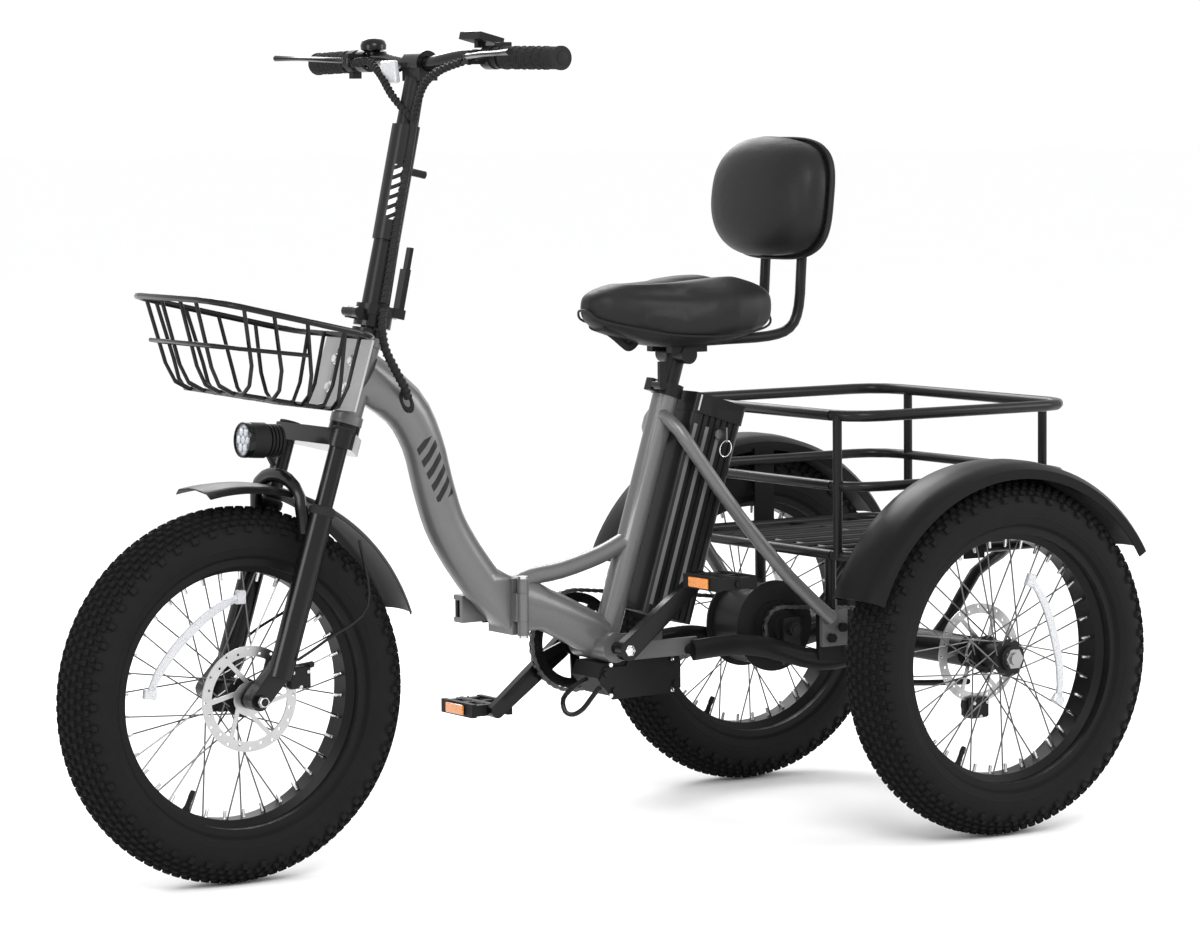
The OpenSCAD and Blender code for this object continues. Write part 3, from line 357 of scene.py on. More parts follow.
@dataclass(frozen=True)
class Marked(Coated):
    """Paint with a plain badge of slanted bars."""

    centre: tuple[float, float] = (0.248, 0.610)
    lean: float = -22.0
    pitch: float = 0.0205
    half: tuple[float, float] = (0.0165, 0.050)
    badge: float = 0.006
    outside: float = 0.006

    def paint(self, g: Graph) -> None:
        """Fills the graph, then lays the badge over the colour."""
        super().paint(g)
        x, y, z = g.axes()
        c, s = cos(radians(self.lean)), sin(radians(self.lean))
        dx, dz = x - self.centre[0], z - self.centre[1]
        across, along = dx * c + dz * s, dz * c - dx * s
        stripe = (along + across * 0.7).wave(self.pitch).above(-0.1, 0.08)
        inside = across.within(self.half[0], 0.0006) * along.within(self.half[1], 0.0006)
        shape = stripe * inside * y.above(self.outside, 0.002)
        plain = g.shader.inputs["Base Color"].links[0].from_socket
        g.dress(base_color=g.mix(shape, plain, grey(self.badge)))


@dataclass(frozen=True)
class Moulded(Finish):
    """Moulded plastic with a spark-eroded grain."""

    tone: float = 0.009
    rough: float = 0.52
    grain: float = 1500.0
    depth_mm: float = 0.09
    coat: float = 0.0
    dust: float = 0.02

    def paint(self, g: Graph) -> None:
        """Fills the graph."""
        grain = g.cells(self.grain)
        settled = (g.upward() ** 2.0) * g.noise(70.0, 6.0, 0.7).above(0.48, 0.15) * self.dust
        tone = g.cloudy(self.tone, (0.8, 1.25), g.noise(11.0, 5.0))
        worn = g.mix(grain.above(0.5, 0.3) * 0.3, tone, grey(self.tone * 1.8))
        g.dress(base_color=g.mix(settled, worn, grey(0.3, 0.03)),
                roughness=(self.rough - 0.06 + 0.14 * g.noise(90.0, 5.0)).clip(),
                coat_weight=self.coat, specular_ior_level=0.14)
        g.bump(grain, self.depth_mm, 0.4)
        g.bump(g.noise(26.0, 3.0), 0.25, 0.12)


@dataclass(frozen=True)
class Tread(Finish):
    """Tyre rubber: matte tread, ribbed sidewall rings and a bloom of dust in the hollows."""

    tone: float = 0.0055
    rough: float = 0.80
    tread_r: float = 0.262
    rib_r: tuple[float, float] = (0.2235, 0.2295)
    rib_pitch: float = 0.0055

    def paint(self, g: Graph) -> None:
        """Fills the graph. The tyre's own axis is Y through the origin."""
        radius = g.radius()
        on_tread = radius.above(self.tread_r, 0.006)
        scuff = g.noise(210.0, 7.0, 0.66)
        tone = g.mix(g.noise(16.0, 6.0, 0.62), grey(self.tone * 0.75, 0.02),
                     grey(self.tone * 1.35, 0.03))
        dusty = (on_tread * 0.6 + 0.4) * scuff.above(0.55, 0.2) * 0.16
        g.dress(base_color=g.mix(dusty, tone, grey(0.024, 0.06)),
                roughness=(self.rough + 0.10 * scuff - (1 - on_tread) * 0.16).clip(),
                specular_ior_level=0.10)
        rings = (radius.wave(self.rib_pitch) * 0.5 + 0.5) * (1 - on_tread)
        band = radius.above(self.rib_r[0], 0.0012) * (1 - radius.above(self.rib_r[1], 0.0012))
        g.bump(rings * band, 0.7, 0.8)
        g.bump(scuff, 0.35, 0.55)
        g.bump(g.cells(900.0), 0.12, 0.3)


@dataclass(frozen=True)
class Rubber(Finish):
    """Soft rubber or a cable's skin."""

    tone: float = 0.013
    rough: float = 0.7
    grain: float = 1100.0
    depth_mm: float = 0.12

    def paint(self, g: Graph) -> None:
        """Fills the graph."""
        worn = g.noise(120.0, 6.0, 0.6)
        tone = g.cloudy(self.tone, (0.75, 1.4), g.noise(24.0, 5.0))
        g.dress(base_color=g.mix(worn.above(0.6, 0.15) * 0.12, tone, grey(0.05, 0.03)),
                roughness=(self.rough - 0.08 + 0.18 * worn).clip(), specular_ior_level=0.14)
        g.bump(g.cells(self.grain), self.depth_mm, 0.5)


@dataclass(frozen=True)
class Leather(Finish):
    """Leatherette: pebbled grain with painted shade in its valleys, soft creases and a polished
    patch where it is sat on.
    """

    tone: float = 0.008
    rough: float = 0.40
    grain: float = 620.0
    depth_mm: float = 0.22
    drift: float = 0.0035

    def paint(self, g: Graph) -> None:
        """Fills the graph."""
        noise: Inputs = {"Vector": g.place, "Scale": 190.0}
        cloud = g.node("ShaderNodeTexNoise", None, noise).outputs["Color"]
        warp = g.node("ShaderNodeVectorMath", {"operation": "MULTIPLY_ADD"},
                      {0: cloud, 1: (self.drift,) * 3, 2: g.place}).outputs[0]
        pebble = g.cells(self.grain, place=warp)
        rub = g.noise(13.0, 4.0)
        tone = g.cloudy(self.tone, (0.8, 1.25), rub, 0.01)
        # The valleys between the pebbles, where the bump below sits lowest, are painted darker:
        # painted shade in the grain.
        g.dress(base_color=g.mix(pebble.above(0.55, 0.25) * 0.35, tone, grey(self.tone * 0.45)),
                roughness=(self.rough - 0.05 + 0.16 * rub + 0.10 * pebble).clip(),
                specular_ior_level=0.20, sheen_weight=0.01, sheen_roughness=0.5)
        g.bump(1 - pebble, self.depth_mm, 0.5)
        g.bump(1 - g.cells(self.grain * 2.7, place=warp), self.depth_mm * 0.4, 0.35)
        g.bump(g.noise(34.0, 8.0, 0.68), 0.8, 0.16)


class Lay(Enum):
    """Which way a metal's brushing runs."""

    NONE = 0
    ROUND_Y = 1
    ALONG_X = 2


@dataclass(frozen=True)
class Metal(Finish):
    """Bare or plated metal with brushing, faint stains and fine scratches."""

    tone: float = 0.55
    warm: float = 0.0
    rough: float = 0.28
    lay: Lay = Lay.NONE
    centre: tuple[float, float] = (0.0, 0.0)
    stain: float = 0.12

    def brushing(self, g: Graph) -> Value:
        """The brush lines."""
        if self.lay is Lay.ROUND_Y:
            return g.number("ShaderNodeTexNoise", {"noise_dimensions": "1D"},
                            {"W": g.radius(self.centre), "Scale": 2600.0, "Detail": 3.0}, "Fac")
        if self.lay is Lay.ALONG_X:
            return g.noise(1500.0, 4.0, 0.6, g.stretched((0.03, 1, 1)))
        return g.noise(700.0, 4.0)

    def paint(self, g: Graph) -> None:
        """Fills the graph."""
        stain = g.noise(60.0, 7.0, 0.65).above(0.55, 0.2) * self.stain
        brush = self.brushing(g)
        tone = g.cloudy(self.tone, (0.88, min(1.1, 0.95 / self.tone)), brush, self.warm)
        g.dress(base_color=g.mix(stain, tone, grey(self.tone * 0.4, 0.08)),
                roughness=(self.rough - 0.05 + 0.12 * brush + 0.35 * stain).clip(), metallic=1.0)
        g.bump(brush, 0.03, 0.35)


@dataclass(frozen=True)
class Prism(Finish):
    """A reflector: coloured clear plastic over small corner prisms."""

    tint: Tint = (0.8, 0.8, 0.8, 1.0)
    dark: float = 0.45
    pitch_mm: float = 2.4

    def paint(self, g: Graph) -> None:
        """Fills the graph."""
        scale = 1 / (self.pitch_mm * MM)
        facet = g.cells(scale)
        edge = g.cells(scale, "DISTANCE_TO_EDGE")
        dim = tuple(c * self.dark for c in self.tint[:3]) + (1.0,)
        g.dress(base_color=g.mix(edge.above(0.08, 0.05), dim, self.tint),
                roughness=(0.10 + 0.16 * facet).clip(), coat_weight=0.8, coat_roughness=0.04,
                specular_ior_level=0.6)
        g.bump(facet, 0.6, 0.6)


@dataclass(frozen=True)
class Glass(Finish):
    """A clear moulded lens with faint rings."""

    def paint(self, g: Graph) -> None:
        """Fills the graph."""
        haze = g.noise(90.0, 5.0)
        g.dress(base_color=g.mix(haze, (0.95, 0.97, 1.0, 1.0), (0.88, 0.91, 0.95, 1.0)),
                roughness=(0.02 + 0.05 * haze).clip(), transmission_weight=1.0, ior=1.46)
        g.bump(g.cells(260.0), 0.2, 0.25)


@dataclass(frozen=True)
class Screen(Finish):
    """A dark display window with faint segment bars."""

    origin: tuple[float, float] = (0.235, 0.151)

    def paint(self, g: Graph) -> None:
        """Fills the graph."""
        x, y, _ = g.axes()
        row = (x - self.origin[0]).within(0.004, 0.0006) * (y - self.origin[1]).within(0.016, 0.001)
        g.dress(base_color=g.mix(y.wave(0.006).above(0.35, 0.1) * row, grey(0.006), grey(0.10)),
                roughness=(0.06 + 0.05 * g.noise(60.0)).clip(), coat_weight=1.0,
                coat_roughness=0.03)
        g.bump(g.noise(12.0), 0.05, 0.1)


FRAME_PAINT = Marked("frame_paint", "frame_paint", tone=0.086, warm=0.004, rough=0.36, metallic=0.4,
                     coat=0.3, flake=0.3, specular=0.28)
REAR_PAINT = Coated("rear_frame_paint", "frame_paint", tone=0.084, warm=0.004, rough=0.38,
                    metallic=0.4, coat=0.25, flake=0.3, specular=0.28)
BLACK_PAINT = Coated("black_paint", "black_paint", tone=0.007, rough=0.38, coat=0.10)
GLOSS_BLACK = Coated("gloss_black", "gloss_black", tone=0.004, rough=0.26, coat=0.22, peel_mm=0.03)
FENDER_BLACK = Coated("fender_black", "gloss_black", tone=0.005, rough=0.40, coat=0.0, peel_mm=0.04,
                      specular=0.10)
RIM_BLACK = Coated("rim_black", "gloss_black", tone=0.005, rough=0.42, coat=0.0, peel_mm=0.02,
                   specular=0.12)
MOTOR_BLACK = Coated("cast_black", "motor_black", tone=0.009, rough=0.46, coat=0.05, peel_mm=0.16)
PLATE_GREY = Coated("plate_grey", "steel", tone=0.36, rough=0.42, metallic=0.25, coat=0.1,
                    dust=0.02)
COVER_SKIN = Marked("cover_skin", "black_plastic", tone=0.008, rough=0.42, coat=0.15,
                    centre=(0.309, 1.036), lean=12.5, pitch=0.0155, half=(0.0085, 0.042),
                    badge=0.75, outside=-0.03)
BLACK_PLASTIC = Moulded("black_plastic", "black_plastic")
BATTERY_SKIN = Moulded("battery_skin", "black_plastic", tone=0.007, rough=0.34, grain=900.0,
                       depth_mm=0.05, coat=0.12)
STRIP_GREY = Moulded("strip_grey", "black_plastic", tone=0.10, rough=0.36, depth_mm=0.02, dust=0.0)
TYRE_RUBBER = Tread("tyre_rubber", "tyre")
SEAT_SKIN = Leather("seat_skin", "leather")
GRIP_RUBBER = Rubber("grip_rubber", "grip_rubber", rough=0.78, depth_mm=0.25)
CABLE_SKIN = Rubber("cable_skin", "cable_skin", tone=0.010, rough=0.42, depth_mm=0.04)
WRAP_SKIN = Rubber("wrap_skin", "cable_skin", tone=0.012, rough=0.5, depth_mm=0.05)
CHAIN_STEEL = Metal("chain_steel", "spoke_steel", tone=0.16, warm=0.02, rough=0.36, stain=0.35)
SPOKE_STEEL = Metal("spoke_steel", "spoke_steel", tone=0.13, rough=0.30)
BRIGHT_STEEL = Metal("bright_steel", "steel", tone=0.62, rough=0.24, lay=Lay.ALONG_X)
CHROME = Metal("chrome", "chrome", tone=0.78, rough=0.12, stain=0.05)
KEY_STEEL = Metal("key_steel", "chrome", tone=0.30, rough=0.32)
AXLE_STEEL = Metal("axle_steel", "steel", tone=0.30, rough=0.34, lay=Lay.ROUND_Y,
                   centre=(-0.595, 0.2855))
REAR_ROTOR_STEEL = Metal("rear_rotor_steel", "steel", tone=0.44, rough=0.30, lay=Lay.ROUND_Y,
                         centre=(-0.595, 0.2855))
FRONT_ROTOR_STEEL = Metal("front_rotor_steel", "steel", tone=0.46, rough=0.30, lay=Lay.ROUND_Y,
                          centre=(0.595, 0.2855))
AMBER = Prism("amber_prism", "lamp", tint=(0.85, 0.27, 0.02, 1.0))
CLEAR_PRISM = Prism("clear_prism", "lamp", tint=(0.52, 0.53, 0.55, 1.0), dark=0.60)
LENS = Glass("lamp_lens", "lamp")
DISPLAY_GLASS = Screen("display_glass", "black_plastic")

NODE_FINISHES: dict[Finish, str] = {
    FRAME_PAINT: "main_tube",
    REAR_PAINT: "rear_frame",
    BLACK_PAINT: "rear_subframe rear_rack controller_cover seat_clamp seat_post backrest_tubes"
                 " stem_post brake_perches",
    GLOSS_BLACK: "rest_loop crankset seat_clamp_lever frame_latch_lever front_basket fork_upper"
                 " fork_lowers handlebar bar_clamp stem_latch brake_lever_left brake_lever_right",
    FENDER_BLACK: "rear_fenders front_fender",
    RIM_BLACK: "front_rim rear_left_rim rear_right_rim",
    MOTOR_BLACK: "rear_caliper front_caliper motor_hub front_hub rear_left_hub rear_right_hub",
    PLATE_GREY: "basket_bracket",
    COVER_SKIN: "stem_cover",
    BLACK_PLASTIC: "controller_box pedal_left pedal_right headlight display throttle",
    BATTERY_SKIN: "battery_case",
    CABLE_SKIN: "cable_lower cable_bundle",
    SPOKE_STEEL: "front_spokes rear_left_spokes rear_right_spokes",
    BRIGHT_STEEL: "frame_hinge_pin",
    CHROME: "basket_bolts",
    KEY_STEEL: "battery_key",
    AXLE_STEEL: "rear_axle",
    REAR_ROTOR_STEEL: "rear_rotor",
    FRONT_ROTOR_STEEL: "front_rotor",
}
FINISHES = {name: finish for finish, names in NODE_FINISHES.items() for name in names.split()}


# ---- Mesh work ----


class Builder:
    """Gathers faces of one piece and turns them into an object."""

    def __init__(self, name: str) -> None:
        """Starts an empty piece."""
        self.name = name
        self.points: list[tuple[float, float, float]] = []
        self.faces: list[tuple[int, ...]] = []

    def ring(self, points: Iterable[Vector]) -> list[int]:
        """Adds points and returns their indices."""
        start = len(self.points)
        self.points.extend(tuple(p) for p in points)
        return list(range(start, len(self.points)))

    def loft(self, rings: Sequence[Sequence[Vector]], closed_path: bool = False,
             foot: bool = True) -> Builder:
        """Joins a row of rings into a skin, closed at its ends or joined into a loop."""
        added = [self.ring(r) for r in rings]
        pairs = list(zip(added, added[1:]))
        if closed_path:
            pairs.append((added[-1], added[0]))
        for first, second in pairs:
            count = len(first)
            for k in range(count):
                n = (k + 1) % count
                self.faces.append((first[k], first[n], second[n], second[k]))
        if not closed_path:
            if foot:
                self.faces.append(tuple(reversed(added[0])))
            self.faces.append(tuple(added[-1]))
        return self

    def lathe(self, centre: Vector, axis: Vector, profile: Profile, sides: int = 32,
              closed: bool = False) -> Builder:
        """Turns a profile of (along, radius) pairs in millimetres round an axis."""
        turn = axis.normalized().to_track_quat("Z", "Y")
        return self.loft([[centre + turn @ Vector((radius * cos(t), radius * sin(t), along)) * MM
                           for t in turns(sides)] for along, radius in profile], closed)

    def tube(self, path: Sequence[Vector], radius: float | Callable[[float], float],
             sides: int = 8, flat: float = 1.0, up: Vector = UP, closed: bool = False) -> Builder:
        """A tube along a path; flat squeezes it along the second direction."""
        count = len(path)
        rings = []
        side = None
        for i, p in enumerate(path):
            if closed:
                run = path[(i + 1) % count] - path[i - 1]
            else:
                run = path[min(i + 1, count - 1)] - path[max(i - 1, 0)]
            run = run.normalized()
            if side is None:
                side = run.cross(up if abs(run.dot(up)) < 0.95 else AHEAD).normalized()
            else:
                side = (side - run * side.dot(run)).normalized()
            size = radius(i / max(count - 1, 1)) if callable(radius) else radius
            over = run.cross(side) * (size * flat)
            rings.append([p + side * (size * cos(t)) + over * sin(t) for t in turns(sides)])
        return self.loft(rings, closed)

    def block(self, centre: Vector, half: Point, turn: Matrix | None = None,
              edge: float = 0.0008) -> Builder:
        """A box with chamfered edges."""
        turn = turn or Matrix.Identity(3)
        hx, hy, hz = half
        e = min(edge, hx * 0.45, hy * 0.45, hz * 0.45)
        rings = []
        for ax, ay, z in ((hx - e, hy - e, -hz), (hx, hy, -hz + e), (hx, hy, hz - e),
                          (hx - e, hy - e, hz)):
            flat = [(ax - e, -ay), (ax, -ay + e), (ax, ay - e), (ax - e, ay),
                    (-ax + e, ay), (-ax, ay - e), (-ax, -ay + e), (-ax + e, -ay)]
            rings.append([centre + turn @ Vector((x, y, z)) for x, y in flat])
        return self.loft(rings)

    def bolt(self, centre: Vector, axis: Vector, radius: float, height: float) -> Builder:
        """A socket bolt's head, standing on the centre; its sizes are in millimetres."""
        return self.lathe(centre, axis, [
            (0, radius), (height * 0.7, radius), (height, radius * 0.82), (height, radius * 0.42),
            (height * 0.45, radius * 0.36)], 6)

    def build(self, finish: Finish, body: str, smooth_deg: float = 40.0,
              origin: Vector = Vector()) -> bpy.types.Object:
        """Makes the object, gives it its finish and lets it ride on a body.

        Args:
            finish: Its finish, from which its material is made.
            body: The record's body that carries it.
            smooth_deg: Edges sharper than this stay sharp.
            origin: Where the mesh's own zero goes.

        Returns:
            The object.
        """
        mesh = bpy.data.meshes.new(self.name)
        mesh.from_pydata(self.points, [], self.faces)
        work = bmesh.new()
        work.from_mesh(mesh)
        bmesh.ops.recalc_face_normals(work, faces=work.faces)
        work.to_mesh(mesh)
        work.free()
        piece = bpy.data.objects.new(self.name, mesh)
        bpy.context.scene.collection.objects.link(piece)
        piece.matrix_world = Matrix.Translation(origin)
        shade(mesh, smooth_deg)
        mesh.materials.append(made(finish))
        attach(piece, body)
        log.info("made %s: %d faces on %s", self.name, len(mesh.polygons), body)
        return piece


def shade(mesh: bpy.types.Mesh, smooth_deg: float) -> None:
    """Smooth shading with sharp edges above an angle."""
    for face in mesh.polygons:
        face.use_smooth = True
    mesh.set_sharp_from_angle(angle=radians(smooth_deg))


def spiral(path: Sequence[Vector], radius: float, pitch: float, steps: int = 14) -> list[Vector]:
    """A helix round a path."""
    fine: list[Vector] = []
    for a, b in zip(path, path[1:]):
        parts = max(1, int((b - a).length / (pitch / steps)))
        fine.extend(a.lerp(b, k / parts) for k in range(parts))
    found: list[Vector] = []
    run, side = 0.0, None
    for a, b in zip(fine, fine[1:]):
        way = (b - a).normalized()
        side = (way.orthogonal() if side is None else side - way * side.dot(way)).normalized()
        turn = tau * run / pitch
        found.append(a + side * (radius * cos(turn)) + way.cross(side) * (radius * sin(turn)))
        run += (b - a).length
    return found


# ---- Wheels ----


def wheel_point(radius: float, y: float, turn: float) -> Vector:
    """A point at a radius, a side and an angle round the axle."""
    return Vector((radius * cos(turn), y, radius * sin(turn)))


@dataclass
class Strip:
    """A curved reflector: its middle and span in degrees, its side and radii in metres."""

    middle: float
    span: float
    y: float
    end_r: float
    mid_r: float
    steps: int = 22


@dataclass
class Wheel:
    """One 20-inch fat wheel: its knobbly tyre, nipples, valve and side reflector."""

    name: str
    centre: Vector
    body: str
    strip: Strip
    casing_r: float = 0.2335
    section_r: float = 0.0468
    section_y: float = 0.0505
    knob: float = 0.0052
    rows: int = 104
    slices: int = 144
    nipple_r: float = 0.1745
    valve_r: float = 0.1890
    valve_deg: float = -64.0
    bead: Profile = ((0.2135, 0.0445), (0.2050, 0.0350), (0.2048, -0.0350), (0.2135, -0.0445))
    knobs: Sequence[tuple[float, float, float, float, int]] = (
        # degrees from the tread's middle, half width and length in mm, phase, rows between
        (0.0, 4.2, 5.4, 0.0, 1), (14.0, 3.5, 4.8, 0.5, 1), (27.5, 3.7, 4.8, 0.0, 1),
        (40.5, 3.2, 4.8, 0.5, 1), (53.0, 3.2, 4.2, 0.0, 1), (64.5, 4.68, 4.75, 0.5, 2))

    def surface(self, theta: float, lift: float = 0.0) -> tuple[float, float]:
        """Radius and Y of the casing at an angle from the middle of the tread."""
        return (self.casing_r + (self.section_r + lift) * cos(theta),
                (self.section_y + lift) * sin(theta))

    def tyre(self) -> None:
        """Casing and knobs, built round the mesh's own zero."""
        b = Builder(f"{self.name}_tyre_tread")
        whole = [self.surface(radians(a)) for a in range(-114, 115, 6)] + list(self.bead)
        b.loft([[wheel_point(r, y, t) for r, y in whole] for t in turns(self.slices)], True)
        for degrees, wide, long, phase, every in self.knobs:
            for side in ((1, -1) if degrees else (1,)):
                for k in range(0, self.rows, every):
                    narrow = 0.88 if (k // every) % 2 else 1.0
                    self.one_knob(b, radians(side * degrees), (k + phase) * tau / self.rows,
                                  wide * narrow * MM, long * MM)
        piece = b.build(TYRE_RUBBER, self.body, 32.0, self.centre)
        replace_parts(piece, f"{self.name}_tyre")

    def one_knob(self, b: Builder, theta: float, turn: float, half_side: float,
                 half_round: float) -> None:
        """A chamfered rubber block on the casing."""
        r, y = self.surface(theta, -0.0006)
        out = Vector((cos(theta) * cos(turn), sin(theta), cos(theta) * sin(turn)))
        around = Vector((-sin(turn), 0.0, cos(turn))) * half_round
        across = out.cross(around.normalized()) * half_side
        base = wheel_point(r, y, turn)
        b.loft([[base + out * lift + around * (share * a) + across * (share * c)
                 for a, c in ((-1, -1), (1, -1), (1, 1), (-1, 1))]
                for lift, share in ((0.0, 1.14), (self.knob * 0.82, 1.0),
                                    (self.knob + 0.0006, 0.78))], foot=False)

    def fittings(self) -> None:
        """Nipples, valve and reflector strip."""
        b = Builder(f"{self.name}_nipples")
        for turn in turns(SPOKES):
            out = wheel_point(1.0, 0.0, turn + pi / SPOKES)
            b.lathe(self.centre + out * self.nipple_r, out,
                    [(0, 1.8), (1.5, 2.6), (11, 2.6), (13.5, 3.4)], 8)
        b.build(BRIGHT_STEEL, self.body)
        out = wheel_point(1.0, 0.0, radians(self.valve_deg))
        Builder(f"{self.name}_valve").lathe(
            self.centre + out * self.valve_r, -out,
            [(-2, 6.5), (2, 6.2), (8, 4.2), (22, 4), (22.5, 4.6),
             (31, 4.4), (34, 3.2)], 14).build(GRIP_RUBBER, self.body)
        self.reflector()

    def reflector(self) -> None:
        """A curved clear reflector clipped between the spokes, nearer the hub at its middle."""
        s = self.strip
        b = Builder(f"{self.name}_reflector_0")
        middle, span = radians(s.middle), radians(s.span)
        rings = []
        for k in range(s.steps + 1):
            part = k / s.steps
            wide = 0.0068 if abs(part - 0.5) < 0.4 else 0.0056
            radius = s.end_r - (s.end_r - s.mid_r) * sin(pi * part)
            rings.append([self.centre + wheel_point(radius + dr * wide, s.y + dy,
                                                    middle + span * (part - 0.5))
                          for dr, dy in ((-1, -0.002), (-1, 0.0022), (0, 0.0042), (1, 0.0022),
                                         (1, -0.002))])
        b.loft(rings)
        for side in (-0.5, 0.5):
            turn = middle + span * side
            b.block(self.centre + wheel_point(s.end_r, s.y, turn), (0.0105, 0.0045, 0.0075),
                    Matrix.Rotation(-turn, 3, "Y"), 0.0012)
        b.build(CLEAR_PRISM, self.body)


# ---- Cushions ----


@dataclass
class Cushion:
    """A padded piece: a crowned shape that is swollen by a short cloth simulation."""

    name: str
    node: str
    body: str
    cap: float
    pressure: float = 4.0
    voxel: float = 0.0055
    fill: float = 0.85
    last_frame: int = 20

    def shape(self) -> Builder:
        """The pad before it swells."""
        raise NotImplementedError

    def make(self) -> None:
        """Builds, swells and finishes the pad."""
        piece = self.shape().build(SEAT_SKIN, self.body, 180.0)
        world = piece.matrix_world.copy()
        piece.parent = None
        piece.matrix_world = world
        remesh = piece.modifiers.new("even", "REMESH")
        remesh.mode, remesh.voxel_size, remesh.use_smooth_shade = "VOXEL", self.voxel, True
        apply_modifiers(piece)
        self.swell(piece)
        relax = piece.modifiers.new("relax", "SMOOTH")
        relax.factor, relax.iterations = 0.5, 6
        finer = piece.modifiers.new("finer", "SUBSURF")
        finer.levels = finer.render_levels = 1
        apply_modifiers(piece)
        shade(piece.data, 180.0)
        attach(piece, self.body)
        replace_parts(piece, self.node)

    def swell(self, piece: bpy.types.Object) -> None:
        """Runs the cloth with pressure inside and keeps each point within the cap."""
        rest = [v.co.copy() for v in piece.data.vertices]
        cloth = piece.modifiers.new("cloth", "CLOTH")
        made_of = cloth.settings
        made_of.use_pressure, made_of.uniform_pressure_force = True, self.pressure
        made_of.effector_weights.gravity = 0
        made_of.tension_stiffness = made_of.compression_stiffness = 18
        made_of.bending_stiffness, made_of.quality = 2.0, 5
        cloth.point_cache.frame_start, cloth.point_cache.frame_end = 1, self.last_frame
        scene = bpy.context.scene
        for frame_number in range(1, self.last_frame + 1):
            scene.frame_set(frame_number)
        shaped = piece.evaluated_get(bpy.context.evaluated_depsgraph_get())
        found = [v.co.copy() for v in shaped.data.vertices]
        piece.modifiers.remove(cloth)
        scene.frame_set(1)
        for vertex, start, end in zip(piece.data.vertices, rest, found):
            move = end - start
            if move.length > self.cap:
                move = move.normalized() * self.cap
            vertex.co = start + move
        piece.data.update()


def apply_modifiers(piece: bpy.types.Object) -> None:
    """Turns what the modifiers show into the piece's own mesh."""
    shown = piece.evaluated_get(bpy.context.evaluated_depsgraph_get())
    mesh = bpy.data.meshes.new_from_object(shown)
    old = piece.data
    piece.modifiers.clear()
    piece.data = mesh
    mesh.name = old.name
    bpy.data.meshes.remove(old)


@dataclass
class Saddle(Cushion):
    """The wide saddle: two raised rear lobes with a channel, and a short nose."""

    channel_mm: float = 22.0
    stations: Sequence[tuple[float, float, float, float, float]] = (
        # x, half width, top, bottom, channel depth; all in millimetres
        (-328, 44, 868, 838, 4), (-322, 88, 877, 816, 13), (-305, 112, 883, 799, 21),
        (-270, 124, 886, 789, 23), (-232, 127, 885, 784, 21), (-198, 119, 882, 782, 16),
        (-164, 101, 879, 784, 11), (-132, 81, 878, 788, 7), (-100, 62, 878, 796, 4),
        (-68, 48, 878, 805, 1), (-43, 38, 875, 813, 0), (-27, 26, 868, 823, 0),
        (-20, 13, 858, 838, 0))

    def shape(self) -> Builder:
        """Lofts the stations from the rear to the nose."""
        rings = []
        for x, half, top, bottom, channel in self.stations:
            mid = bottom + (top - bottom) * 0.52
            ring = []
            for t in turns(40):
                c, s = cos(t), sin(t)
                y = half * copysign(abs(c) ** 0.8, c)
                if s >= 0:
                    dip = channel * exp(-(y / self.channel_mm) ** 2) * s
                    z = mid + (top - mid) * s ** 0.55 - dip
                else:
                    y *= 1 - 0.20 * s ** 2
                    z = mid - (mid - bottom) * abs(s) ** 0.62
                ring.append(at(x, y, z))
            rings.append(ring)
        return Builder(self.name).loft(rings)

    def trim(self) -> None:
        """The plastic pan under the pad with its front hook, and the welt."""
        hook = [at(x, 0, z) for x, z in ((-60, 812), (-76, 802), (-94, 788), (-104, 782),
                                         (-114, 786), (-124, 798))]
        pan = [[at(x, half * 0.58 * cos(t), bottom + 3.0 + sin(t) * (4.0 if sin(t) > 0 else 7.5))
                for t in turns(20)] for x, half, _, bottom, _ in self.stations[2:-2]]
        b = Builder("saddle_pan").loft(pan)
        b.tube(smooth_path(hook, 4), 0.0075, 10, 0.6, LEFT).build(BLACK_PLASTIC, self.body)
        path = [at(x, sign * (half * 0.90 + 1.5), bottom + (top - bottom) * 0.17)
                for sign in (1, -1) for x, half, top, bottom, _ in self.stations[::sign]]
        Builder("saddle_welt").tube(smooth_path(path + [path[0]], 3)[:-1], 0.0020, 8,
                                    closed=True).build(SEAT_SKIN, self.body)


